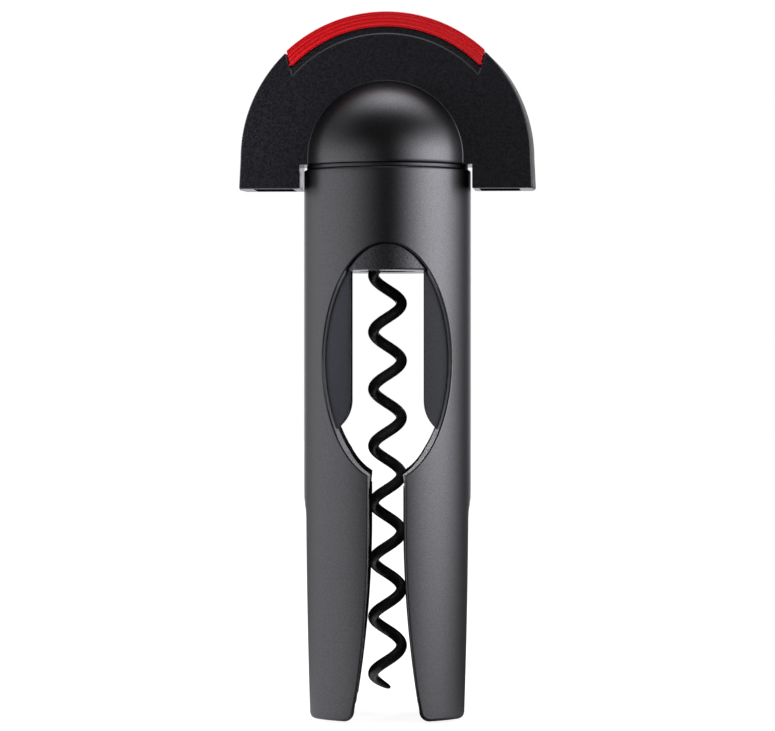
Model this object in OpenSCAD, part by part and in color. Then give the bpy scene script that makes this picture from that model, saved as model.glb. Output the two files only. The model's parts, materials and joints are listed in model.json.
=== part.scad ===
// Self-pulling corkscrew: a tube whose two sprung legs pinch the bottle's neck, a worm that
// turns freely through a guide in the tube, and a half-disc handle with a soft grip.
// Origin: on the worm's axis, level with the legs' feet. +Z is up, the front looks to -Y.

/* [Tube] */
// Outside diameter of the tube
tube_d = 39.2; // [36:0.1:44]
// Height of the tube's top edge above the feet
tube_h = 127.9; // [120:0.1:140]
// Wall of the upper tube
tube_wall = 2.2; // [1.6:0.1:2.8]

/* [Window and slot] */
// Width of the oval window, front and back
window_w = 29.4; // [26:0.1:32]
// Height of the oval window
window_h = 54.6; // [50:0.1:60]
// Height of the window's middle above the feet
window_z = 83.1; // [80:0.1:88]
// Width of the slot between the legs, where it is straight
slot_w = 8.1; // [7:0.1:10]
// Width of the slot at the feet
slot_foot_w = 15; // [13:0.1:18]
// Height up to which the slot widens downwards
slot_flare_h = 45; // [35:1:50]
// Radius of the feet's corners beside the slot
foot_corner_r = 2.4; // [1.5:0.1:3.5]

/* [Legs] */
// Wall of the legs
leg_wall = 3.2; // [2.8:0.1:3.6]
// Free height between a leg's top and the sleeve above it
leg_sleeve_gap = 3.8; // [1.5:0.1:4]
// Distance from the worm's axis to the finger flat, at its top
flat_x = 19.09; // [18.6:0.01:19.4]
// Length of each finger flat, up from the foot
flat_h = 47; // [40:1:50]
// Radius of the finger flat's long curve
flat_r = 1700; // [1400:50:2400]
// Height at which the long curve would be widest
flat_top_z = 62; // [56:1:64]
// Height over which the flat runs out into the tube
flat_out_h = 6; // [4:0.5:9]
// Rounding under each foot
foot_r = 1.8; // [1:0.1:2]

/* [Neck pads] */
// Thickness of the pads inside the legs
pad_t = 1; // [0.8:0.1:1.2]
// Height of the pads' lower edge above the feet
pad_z = 3.7; // [3:0.1:8]
// Length of the pads
pad_h = 50.8; // [40:0.1:52]
// How far the pads stand into the slot
pad_overhang = 0.25; // [0:0.05:0.6]

/* [Sleeve] */
// Distance from the window's top down to the sleeve's floor
floor_drop = 6.2; // [4:0.1:9]
// Thickness of the sleeve's floor
floor_t = 1.6; // [1.2:0.1:2.4]
// How far the sleeve's faces stand out into the windows
face_rise = 1.2; // [0.4:0.1:1.6]
// Drop of the sleeve's top below the tube's edge
sleeve_drop = 0.6; // [0.2:0.1:2]
// Wall of the sleeve's cup above the floor
cup_wall = 1.6; // [1.2:0.1:1.8]
// Wall of the two cheeks under the floor, which stop the bottle's lip
cheek_wall = 3.7; // [3.2:0.1:4.2]
// Length of the cheeks below the floor
cheek_h = 38.8; // [36:0.1:44]
// Width between the cheeks
cheek_gap = 17; // [15:0.1:19]
// Radius of the cheeks' lower corners
cheek_r = 8.5; // [8:0.1:11]

/* [Worm] */
// Outside diameter of the worm
worm_d = 9.2; // [8.6:0.1:9.6]
// Diameter of the worm's coated wire
wire_d = 2.6; // [2.2:0.1:3]
// Rise of the worm for one turn
worm_pitch = 13.39; // [12:0.01:15]
// Height of the worm's point above the feet
worm_tip_z = 6.1; // [4:0.1:12]
// Direction of the worm's point, seen from above
worm_tip_angle = 86; // [0:1:360]
// Diameter of the blunt point
worm_tip_d = 0.9; // [0.6:0.1:1.2]
// Share of a turn over which the point tapers
worm_taper = 0.32; // [0.2:0.01:0.6]

/* [Guide] */
// Wall of the guide bush
guide_wall = 1.8; // [1.4:0.1:2.4]
// Width of the guide's flange on the sleeve's floor
guide_flange = 1.6; // [1:0.1:2.4]
// Thickness of the guide's flange
guide_flange_t = 1.2; // [0.8:0.1:2]

/* [Slip ring] */
// How far the ring's rim is set back from the tube's surface
ring_inset = 0.65; // [0.3:0.05:1.2]
// Height of the slip ring
ring_h = 1; // [0.8:0.1:1.6]

/* [Handle] */
// Radius of the handle's half disc
handle_r = 34.2; // [31:0.1:38]
// Thickness of the handle from front to back
handle_t = 15; // [13:0.1:17]
// Wall of the handle's faces
face_wall = 1.6; // [1.3:0.1:2]
// Wall of the handle's rim
rim_wall = 2.8; // [2.4:0.1:3.2]
// Drop of the two arms beside the tube
arm_drop = 5.6; // [4:0.1:9]
// How far the arms lean out, from the half disc's middle down to their ends
arm_flare = 0.4; // [0:0.1:1]
// Play between the arms and the tube
arm_play = 0.65; // [0.4:0.05:1]
// Turn of the handle against the tube, as it is put away
handle_turn = -3.4; // [-45:0.1:45]

/* [Domes] */
// Height of the straight part under the domes
dome_skirt = 1.5; // [0.8:0.1:3]
// Wall of the domes
dome_wall = 1.6; // [1.2:0.1:2]
// Cover that the dome's rim has over its foot, which is set into the handle's face
plug_inset = 0.3; // [0.2:0.05:0.5]
// Depth to which a dome's foot reaches into the dome
plug_lap = 0.5; // [0.3:0.1:0.8]
// Spacing of the dome's two pegs
peg_gap = 9; // [8:0.1:12]
// Height of the pegs above the domes' centre
peg_rise = 6.4; // [5.6:0.1:7.4]
// Diameter of the dome's pegs
peg_d = 2.4; // [2:0.1:3]
// Wall round the pegs where they stand in the dome
boss_wall = 0.8; // [0.6:0.1:1.2]

/* [Grip] */
// Half the angle that the grip covers, each way from the top
grip_angle = 45; // [35:1:55]
// Depth of the grip on the handle's faces
grip_side = 3.55; // [2.6:0.05:4]
// Thickness of the grip
grip_t = 1; // [0.8:0.1:1.3]
// Spacing of the grip's ridges
rib_pitch = 0.82; // [0.7:0.01:1.1]
// Depth of the grooves between the ridges
rib_depth = 0.3; // [0.2:0.05:0.4]
// Plain strip beside each edge of the grip
rib_margin = 0.2; // [0.1:0.05:0.4]

/* [Hub] */
// Length of the hub's spigot inside the tube
spigot_h = 8; // [6:0.1:12]
// Gap round the spigot beside its bead
spigot_gap = 0.3; // [0.2:0.05:0.6]
// Height of the bead that runs in the tube
bead_h = 0.6; // [0.4:0.1:1.2]
// Depth of the bead below the slip ring
bead_drop = 0.2; // [0.1:0.05:0.6]
// Height of solid hub over the worm's last turn
worm_cover = 2.4; // [1.6:0.1:3]
// Height of the hub's block inside the handle
hub_h = 13.4; // [12:0.1:14]
// Length of the worm's bent end, out from the axis
worm_bar = 6; // [5:0.1:7]
// Inside radius of the worm's bend
worm_bend_r = 1.2; // [1:0.1:2]
// Thickness of the clamp over the bent end
clamp_t = 1.6; // [1.2:0.1:2]
// Margin of the clamp round its screws' heads, and inside the hub's sides
clamp_margin = 0.6; // [0.4:0.1:0.8]

/* [Screws] */
// Diameter of the screws that join the handle
screw_d = 2.2; // [1.8:0.1:2.6]
// Head diameter of those screws
screw_head_d = 4.2; // [3.6:0.1:4.8]
// Head height of those screws
screw_head_h = 1.4; // [1:0.1:1.8]
// Width of the cross in a screw's head
cross_w = 0.6; // [0.4:0.1:0.8]
// Depth of that cross
cross_depth = 0.8; // [0.5:0.1:0.9]
// Spacing of the two screws across the handle
screw_gap = 23; // [20:0.1:24]
// Height of those screws above the domes' centre
screw_rise = 4; // [3:0.1:5]
// Wall between the worm's bent end and a clamp screw
screw_wall = 0.6; // [0.4:0.1:0.9]
// Depth of the clamp's screws in the hub
clamp_depth = 4; // [3:0.1:5]

/* [Fits] */
// Play of one piece that turns or slides in another
run_fit = 0.1; // [0.05:0.01:0.15]
// Gap where a still piece is seated in another
seat_fit = 0.05; // [0.02:0.01:0.1]
// Gap of the leg's flexing joint
flex_gap = 0.3; // [0.25:0.01:0.5]
// Play of the worm in its guide
worm_play = 0.2; // [0.1:0.05:0.4]

/* [Hidden] */

$fn = 96;
past = 1; // how far a cut runs past the face it opens
skin = 0.2; // how far a cut that runs out of a curved surface ends outside it

satin_grey = [0.36, 0.36, 0.37];
grained_black = [0.13, 0.13, 0.15];
liner_grey = [0.2, 0.2, 0.22];
grip_red = [0.75, 0.12, 0.17];
worm_black = [0.09, 0.09, 0.1];
pad_black = [0.06, 0.06, 0.06];
guide_grey = [0.16, 0.16, 0.17];
ring_black = [0.1, 0.1, 0.11];
steel = [0.7, 0.7, 0.72];

tube_r = tube_d / 2;
tube_in = tube_r - tube_wall;
leg_in = tube_r - leg_wall;
window_top = window_z + window_h / 2;
// Height at which the window's oval has come down to the slot's width
slot_top = window_z - window_h / 2 * sqrt(1 - pow(slot_w / window_w, 2));

floor_z = window_top - floor_drop;
cheek_z = floor_z - cheek_h;
sleeve_r = tube_in - seat_fit;
sleeve_top = tube_h - sleeve_drop;
cup_in = sleeve_r - cup_wall;
cheek_in = sleeve_r - cheek_wall;

leg_top = cheek_z - leg_sleeve_gap;

worm_r = worm_d / 2;
coil_r = worm_r - wire_d / 2;
guide_bore = worm_r + worm_play;
guide_r = guide_bore + guide_wall;

ring_z = tube_h + seat_fit;
seat_z = ring_z + ring_h + seat_fit; // underside of the handle's middle and of its domes
spigot_r = cup_in - spigot_gap;
bead_r = cup_in - run_fit;
ring_in = spigot_r + run_fit;
ring_out = tube_r - ring_inset;

dome_z = seat_z + dome_skirt; // centre of the domes and of the handle's half disc
handle_y = handle_t / 2;
inner_y = handle_y - face_wall; // inside of the faces, where the domes' rims end
plate_y = inner_y - face_wall; // inside of the plates behind the domes
arm_x = tube_r + arm_play;
dome_rim = sqrt(pow(tube_r, 2) - pow(handle_y, 2)); // radius of a dome's rim on the handle's face
plug_r = dome_rim - plug_inset; // radius of a dome's foot, which is set into the face
hub_y = plate_y - seat_fit;
hub_x = sqrt(pow(spigot_r, 2) - pow(hub_y, 2)) - seat_fit;
hub_top = seat_z + hub_h;
worm_head_h = spigot_h - worm_cover; // height in the spigot over which the worm closes in to its shank
wire_r = wire_d / 2;
bar_z = hub_top - wire_r - seat_fit; // axis of the worm's bent end
slot_y = wire_r + seat_fit;
bend_r = worm_bend_r + wire_r;
bend_z = bar_z - bend_r;
screw_z = dome_z + screw_rise;
peg_z = dome_z + peg_rise;
clamp_screw_x = worm_bar + (wire_d + screw_d) / 2 + screw_wall;
grip_in = handle_r - grip_side;
grip_end_gap = seat_fit / handle_r * 180 / PI; // angle of the gap at each end of the grip

// A solid with the outline that is drawn as seen from the front, from y0 to y1
module front_view(y0, y1) {
    translate([0, y1, 0])
        rotate([90, 0, 0])
            linear_extrude(height = y1 - y0)
                children();
}

module ring(outer, inner, z0, z1) {
    translate([0, 0, z0])
        difference() {
            cylinder(r = outer, h = z1 - z0);
            translate([0, 0, -past]) cylinder(r = inner, h = z1 - z0 + 2 * past);
        }
}

// Turns what belongs to the handle to the place where the handle is put away
module on_handle() {
    rotate([0, 0, handle_turn]) children();
}

// Right-hand edge of the opening between the legs, from the foot up to the window's top.
// inset narrows the slot.
function flare(z) = (slot_foot_w - slot_w) / 2
    * pow(max(0, slot_flare_h - z) / (slot_flare_h - foot_corner_r), 2);
function opening_edge(inset) = concat(
    [[slot_foot_w / 2 + foot_corner_r - inset, -past]],
    [for (a = [270:-15:180])
        [slot_foot_w / 2 + foot_corner_r - inset + foot_corner_r * cos(a),
         foot_corner_r + foot_corner_r * sin(a)]],
    [for (i = [1:12])
        let (z = foot_corner_r + (slot_flare_h - foot_corner_r) * i / 12)
        [slot_w / 2 + flare(z) - inset, z]],
    [for (i = [0:30])
        let (from = asin((slot_top - window_z) / (window_h / 2)), a = from + (90 - from) * i / 30)
        [max(slot_w / 2 - inset, window_w / 2 * cos(a) - inset) * (i == 30 ? 0 : 1),
         window_z + window_h / 2 * sin(a)]]
);
function mirrored(points) = [for (i = [len(points) - 2:-1:0]) [-points[i][0], points[i][1]]];

module opening(inset = 0) {
    edge = opening_edge(inset);
    front_view(-tube_r - past, tube_r + past)
        polygon(concat(edge, mirrored(edge)));
}

// Window and slot are one opening, cut through the front and the back alike
module frame_shell() {
    color(satin_grey)
        difference() {
            ring(tube_r, tube_in, leg_top + flex_gap, tube_h);
            opening();
        }
}

// Outline of a leg's outer side, as seen from the front: a long flat curve with a rounded foot,
// which runs out into the tube above flat_h
function flat_at(z) = flat_x - pow(max(0, flat_top_z - z), 2) / (2 * flat_r);
function ease(t) = t * t * (3 - 2 * t);
function flat_edge() = concat(
    [for (a = [270:15:360])
        [flat_at(foot_r) - foot_r + foot_r * cos(a), foot_r + foot_r * sin(a)]],
    [for (i = [1:12])
        let (z = foot_r + (flat_h - foot_r) * i / 12)
        [flat_at(z), z]],
    [for (i = [1:6])
        let (t = i / 6)
        [flat_at(flat_h) + (tube_r + skin - flat_at(flat_h)) * ease(t), flat_h + flat_out_h * t]]
);

module leg(side) {
    difference() {
        rotate_extrude()
            difference() {
                translate([leg_in, 0]) square([leg_wall, leg_top]);
                translate([tube_r - foot_r, 0])
                    difference() {
                        translate([0, -past]) square(foot_r + past);
                        translate([0, foot_r]) circle(r = foot_r);
                        translate([-past, foot_r]) square(2 * past + foot_r);
                    }
            }
        opening();
        // Outside of the finger flat
        mirror([side < 0 ? 1 : 0, 0, 0])
            front_view(-tube_r - past, tube_r + past)
                polygon(concat(
                    [[flat_at(foot_r) - foot_r, -past]],
                    flat_edge(),
                    [[tube_r + past, flat_h + flat_out_h], [tube_r + past, -past]]
                ));
        // The other leg's half
        translate([side < 0 ? 0 : -tube_r - past, -tube_r - past, -past])
            cube([tube_r + past, 2 * (tube_r + past), tube_h]);
    }
}

module left_leg() {
    color(satin_grey) leg(-1);
}

module right_leg() {
    color(satin_grey) leg(1);
}

// Soft pad on the inside of a leg, a little wider than the leg at the slot
module neck_pad(side) {
    difference() {
        ring(leg_in - seat_fit, leg_in - pad_t, pad_z, pad_z + pad_h);
        opening(pad_overhang);
        translate([side < 0 ? 0 : -tube_r - past, -tube_r - past, 0])
            cube([tube_r + past, 2 * (tube_r + past), tube_h]);
    }
}

module left_neck_pad() {
    color(pad_black) neck_pad(-1);
}

module right_neck_pad() {
    color(pad_black) neck_pad(1);
}

// A cup that closes the top of the windows, with a face in each window and two cheeks under its floor
module inner_sleeve() {
    color(liner_grey)
        difference() {
            union() {
                ring(sleeve_r, cup_in, floor_z, sleeve_top);
                ring(sleeve_r, guide_r + seat_fit, floor_z, floor_z + floor_t);
                ring(sleeve_r, cheek_in, cheek_z, floor_z);
                // The faces stand out into the windows and keep the sleeve from turning
                intersection() {
                    union() {
                        ring(sleeve_r + face_rise, cup_in, floor_z, window_top);
                        ring(sleeve_r + face_rise, cheek_in, cheek_z, floor_z);
                    }
                    front_view(-tube_r, tube_r) window_outline(seat_fit);
                }
            }
            front_view(-tube_r, tube_r) cheek_opening();
        }
}

// The oval window, less a gap
module window_outline(gap) {
    polygon([for (a = [0:3:357])
        [(window_w / 2 - gap) * cos(a), window_z + (window_h / 2 - gap) * sin(a)]]);
}

module cheek_opening() {
    corner_x = cheek_gap / 2 + cheek_r;
    corner_z = cheek_z + cheek_r;
    translate([-cheek_gap / 2, corner_z - past]) square([cheek_gap, floor_z - corner_z + past]);
    difference() {
        translate([-tube_r, cheek_z - past]) square([2 * tube_r, cheek_r + past]);
        for (side = [-1, 1])
            translate([side * corner_x, corner_z]) circle(r = cheek_r);
        for (side = [-1, 1])
            translate([side < 0 ? -tube_r - corner_x : corner_x, cheek_z - 2 * past])
                square([tube_r, cheek_r + 3 * past]);
    }
}

// Low-friction bush in the sleeve's floor, through which the worm turns and slides
module worm_guide() {
    color(guide_grey)
        union() {
            ring(guide_r, guide_bore, floor_z, floor_z + floor_t + guide_flange_t);
            ring(guide_r + guide_flange, guide_bore,
                floor_z + floor_t + seat_fit, floor_z + floor_t + guide_flange_t);
        }
}

// Thrust washer between the tube's edge and the handle
module slip_ring() {
    color(ring_black) ring(ring_out, ring_in, ring_z, ring_z + ring_h);
}

// Outline of the handle less a wall: a half disc with two arms, open under the arms if inside
module handle_outline(wall = 0) {
    notch_x = arm_x + (wall > 0 ? face_wall : 0);
    notch_z = seat_z + (wall > 0 ? face_wall : 0);
    foot_z = seat_z - arm_drop - (wall > 0 ? past : 0);
    side_x = handle_r - wall;
    foot_x = side_x + arm_flare * (dome_z - foot_z) / (dome_z - seat_z + arm_drop);
    difference() {
        union() {
            intersection() {
                translate([0, dome_z]) circle(r = handle_r - wall);
                translate([-handle_r, dome_z]) square([2 * handle_r, handle_r]);
            }
            polygon([[-foot_x, foot_z], [foot_x, foot_z], [side_x, dome_z], [-side_x, dome_z]]);
        }
        translate([-notch_x, foot_z - past]) square([2 * notch_x, notch_z - foot_z + past]);
    }
}

// Outline of a dome's foot on the handle's face: half a circle with straight sides below it
module dome_outline(r, low) {
    intersection() {
        translate([0, dome_z]) circle(r = r);
        translate([-r, dome_z]) square([2 * r, r]);
    }
    translate([-r, low]) square([2 * r, dome_z - low]);
}

module screw_places() {
    for (x = [-1, 1])
        translate([x * screw_gap / 2, 0, screw_z])
            rotate([90, 0, 0])
                children();
}

module peg_places() {
    for (x = [-1, 1])
        translate([x * peg_gap / 2, 0, peg_z])
            rotate([90, 0, 0])
                children();
}

// Front half of the handle: a face with a rim behind it and a set-back plate behind the dome
module handle_half() {
    difference() {
        union() {
            difference() {
                front_view(-handle_y, 0) handle_outline();
                front_view(-inner_y, past) handle_outline(rim_wall);
            }
            front_view(-inner_y, -plate_y)
                intersection() {
                    dome_outline(dome_rim + face_wall, seat_z);
                    handle_outline();
                }
        }
        front_view(-handle_y - past, -inner_y) dome_outline(plug_r + seat_fit, seat_z - past);
        // Passage of the hub's neck through the floor of the handle
        translate([-hub_x - seat_fit, -hub_y - seat_fit, seat_z - past])
            cube([2 * (hub_x + seat_fit), 2 * (hub_y + seat_fit), face_wall + 2 * past]);
        grip_body(seat_fit);
        screw_places() cylinder(d = screw_d + 2 * seat_fit, h = handle_t, center = true);
        peg_places() cylinder(d = peg_d + 2 * seat_fit, h = handle_t, center = true);
    }
}

module handle_front_shell() {
    color(grained_black) on_handle() handle_half();
}

module handle_rear_shell() {
    color(grained_black) on_handle() mirror([0, 1, 0]) handle_half();
}

// The grip's U-shaped section is carried round the handle's rim
module grip_sweep(angle) {
    translate([0, 0, dome_z])
        rotate([90, 0, 0])
            rotate([0, 0, 90 - angle])
                rotate_extrude(angle = 2 * angle)
                    children();
}

// Space that the grip takes in the handle
module grip_body(gap) {
    grip_sweep(grip_angle)
        difference() {
            translate([grip_in - gap, -handle_y - past])
                square([grip_side + gap + past, handle_t + 2 * past]);
            translate([grip_in - gap - past, -handle_y + grip_t + gap])
                square([grip_side - grip_t + past, handle_t - 2 * grip_t - 2 * gap]);
        }
}

// One row of ridges along a straight side: points from its start to its end, with their depth.
// Each pitch has a ridge, then a groove as wide.
function ridges(length) =
    let (count = max(2, round(length / rib_pitch)), step = length / count)
    [for (i = [0:count - 1], p = [[0.12, 0], [0.5, 0], [0.62, 1], [1, 1]])
        [(i + p[0]) * step, p[1] * rib_depth]];

module grip_inlay() {
    side = ridges(grip_side - rib_margin);
    top = ridges(handle_t - 2 * rib_margin);
    top_y = handle_y - rib_margin;
    color(grip_red)
        on_handle()
            grip_sweep(grip_angle - grip_end_gap)
                polygon(concat(
                    [[grip_in, -handle_y + grip_t]],
                    [[grip_in, -handle_y]],
                    [for (p = side) [grip_in + p[0], -handle_y + p[1]]],
                    [for (p = top) [handle_r - p[1], -top_y + p[0]]],
                    [for (i = [len(side) - 1:-1:0])
                        [grip_in + side[i][0], handle_y - side[i][1]]],
                    [[grip_in, handle_y]],
                    [[grip_in, handle_y - grip_t]],
                    [[handle_r - grip_t, handle_y - grip_t]],
                    [[handle_r - grip_t, -handle_y + grip_t]]
                ));
}

// A dome has the tube's radius: a ball above its centre and a straight skirt below
module dome_solid(r, low) {
    rotate_extrude()
        union() {
            translate([0, low]) square([r, dome_z - low]);
            translate([0, dome_z])
                intersection() {
                    circle(r = r);
                    square(r);
                }
        }
}

module dome() {
    difference() {
        union() {
            intersection() {
                dome_solid(tube_r, seat_z);
                translate([-tube_r, -tube_r - past, seat_z])
                    cube([2 * tube_r, tube_r + past - handle_y, tube_d]);
            }
            front_view(-handle_y - plug_lap, -inner_y - seat_fit) dome_outline(plug_r, seat_z);
        }
        intersection() {
            dome_solid(tube_r - dome_wall, seat_z);
            translate([-tube_r, -tube_r, seat_z + dome_wall])
                cube([2 * tube_r, tube_r, tube_d]);
        }
    }
    // Bosses that carry the pegs, from the dome's shell down to the plate
    intersection() {
        dome_solid(tube_r - dome_wall / 2, seat_z);
        peg_places()
            translate([0, 0, inner_y + seat_fit])
                cylinder(d = peg_d + 2 * boss_wall, h = tube_r);
    }
    peg_places() translate([0, 0, plate_y]) cylinder(d = peg_d, h = handle_y - plate_y);
}

module front_dome() {
    color(satin_grey) on_handle() dome();
}

module rear_dome() {
    color(satin_grey) on_handle() mirror([0, 1, 0]) dome();
}

// The hub joins the two shells, holds the worm's bent end and centres the handle in the tube
module hub_core() {
    color(ring_black)
        on_handle()
            difference() {
                union() {
                    translate([-hub_x, -hub_y, seat_z - past])
                        cube([2 * hub_x, 2 * hub_y, hub_h + past]);
                    translate([0, 0, seat_z - spigot_h - seat_fit])
                        cylinder(r = spigot_r, h = spigot_h);
                    translate([0, 0, tube_h - bead_drop - bead_h]) cylinder(r = bead_r, h = bead_h);
                }
                // Bore of the worm's shank
                translate([0, 0, seat_z - spigot_h - past])
                    cylinder(d = wire_d + 2 * seat_fit, h = hub_top);
                // Room for the worm's last half turn
                translate([0, 0, seat_z - spigot_h - past])
                    cylinder(r = worm_r + worm_play, h = past + worm_head_h);
                front_view(-slot_y, slot_y) bar_slot();
                screw_places() cylinder(d = screw_d + 2 * seat_fit, h = handle_t, center = true);
                peg_places() cylinder(d = peg_d + 2 * seat_fit, h = handle_t, center = true);
                clamp_places()
                    translate([0, 0, -clamp_depth])
                        cylinder(d = screw_d + 2 * seat_fit, h = clamp_depth + past);
            }
}

// Outline of the slot in which the worm's bent end lies, with the bend's round corner
module bar_slot() {
    floor_of_bar = bar_z - slot_y;
    translate([-slot_y, floor_of_bar]) square([worm_bar + slot_y + 2 * seat_fit, tube_h]);
    difference() {
        translate([0, bend_z]) square([bend_r, floor_of_bar - bend_z + seat_fit]);
        translate([bend_r, bend_z]) circle(r = worm_bend_r - seat_fit);
    }
}

module clamp_places() {
    for (x = [-1, 1])
        translate([x * clamp_screw_x, 0, hub_top]) children();
}

module worm_clamp() {
    clamp_x = clamp_screw_x + screw_head_d / 2 + clamp_margin;
    clamp_y = hub_y - clamp_margin;
    color(steel)
        on_handle()
            difference() {
                translate([-clamp_x, -clamp_y, hub_top + seat_fit])
                    cube([2 * clamp_x, 2 * clamp_y, clamp_t]);
                clamp_places()
                    translate([0, 0, -past])
                        cylinder(d = screw_d + 2 * seat_fit, h = clamp_t + 3 * past);
            }
}

// A pan-head screw along +Z, with its head's underside at the origin
module screw(length) {
    translate([0, 0, -length]) cylinder(d = screw_d, h = length);
    difference() {
        cylinder(d = screw_head_d, h = screw_head_h);
        for (a = [0, 90])
            rotate([0, 0, a])
                translate([-screw_head_d / 3, -cross_w / 2, screw_head_h - cross_depth])
                    cube([screw_head_d * 2 / 3, cross_w, screw_head_h]);
    }
}

module clamp_screws() {
    color(steel)
        on_handle()
            clamp_places()
                translate([0, 0, clamp_t + 2 * seat_fit])
                    screw(clamp_t + clamp_depth - seat_fit);
}

module shell_screws() {
    color(steel)
        on_handle()
            mirror([0, 1, 0])
                screw_places()
                    translate([0, 0, inner_y + seat_fit])
                        screw(inner_y + plate_y + face_wall / 2);
}

// The worm is a wire along one path: point, right-handed coil, shank on the axis, bent end.
// Each point of the path is [x, y, z, radius of the wire].
ring_sides = 10;
turn_steps = 20;
shank_z = seat_z - worm_cover - worm_play; // height at which the shank is on the axis
coil_top = shank_z - worm_pitch / 2; // the coil closes in over half a turn
coil_turns = (coil_top - worm_tip_z) / worm_pitch;
coil_steps = ceil(coil_turns * turn_steps);
function coil_angle(z) = worm_tip_angle + 360 * (z - worm_tip_z) / worm_pitch;
function point_r(z) = let (t = min(1, (z - worm_tip_z) / (worm_taper * worm_pitch)))
    worm_tip_d / 2 + (wire_r - worm_tip_d / 2) * sqrt(t);
function coil_point(z, r) = [r * cos(coil_angle(z)), r * sin(coil_angle(z)), z, point_r(z)];
path = concat(
    [for (i = [0:coil_steps])
        let (z = worm_tip_z + (coil_top - worm_tip_z) * i / coil_steps)
        coil_point(z, worm_r - point_r(z))],
    [for (i = [1:10])
        let (z = coil_top + (shank_z - coil_top) * i / 10)
        coil_point(z, coil_r * (1 - ease(i / 10)))],
    [[0, 0, shank_z + wire_r, wire_r], [0, 0, (shank_z + bend_z) / 2, wire_r]],
    [for (a = [0:15:90])
        [(bend_r - bend_r * cos(a)) * cos(handle_turn), (bend_r - bend_r * cos(a)) * sin(handle_turn),
         bend_z + bend_r * sin(a), wire_r]],
    [[worm_bar * cos(handle_turn), worm_bar * sin(handle_turn), bar_z, wire_r]]
);
function spot(i) = [path[i][0], path[i][1], path[i][2]];
function unit(v) = v / norm(v);
function heading(i) = unit(spot(min(i + 1, len(path) - 1)) - spot(max(i - 1, 0)));
function squared(n, t) = unit(n - (n * t) * t);
// The direction that each ring starts from is the last ring's, turned square to the path
starts = [for (i = 0, n = squared([0, 0, 1], heading(0)); i < len(path);
    i = i + 1, n = i < len(path) ? squared(n, heading(i)) : n) n];

module worm() {
    rings = len(path);
    points = [for (i = [0:rings - 1], k = [0:ring_sides - 1])
        let (a = 360 * k / ring_sides, side = cross(heading(i), starts[i]))
        spot(i) + path[i][3] * (cos(a) * starts[i] + sin(a) * side)];
    first = [for (k = [1:ring_sides - 2]) [0, k, k + 1]];
    last_at = (rings - 1) * ring_sides;
    last = [for (k = [1:ring_sides - 2]) [last_at, last_at + k + 1, last_at + k]];
    walls = [for (i = [0:rings - 2], k = [0:ring_sides - 1])
        let (a = i * ring_sides + k, b = i * ring_sides + (k + 1) % ring_sides)
        each [[a, a + ring_sides, b], [b, a + ring_sides, b + ring_sides]]];
    color(worm_black) polyhedron(points, concat(first, walls, last));
}

frame_shell();
inner_sleeve();
worm_guide();
left_leg();
left_neck_pad();
right_leg();
right_neck_pad();
slip_ring();
handle_front_shell();
handle_rear_shell();
grip_inlay();
front_dome();
rear_dome();
hub_core();
worm();
worm_clamp();
clamp_screws();
shell_screws();
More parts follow.
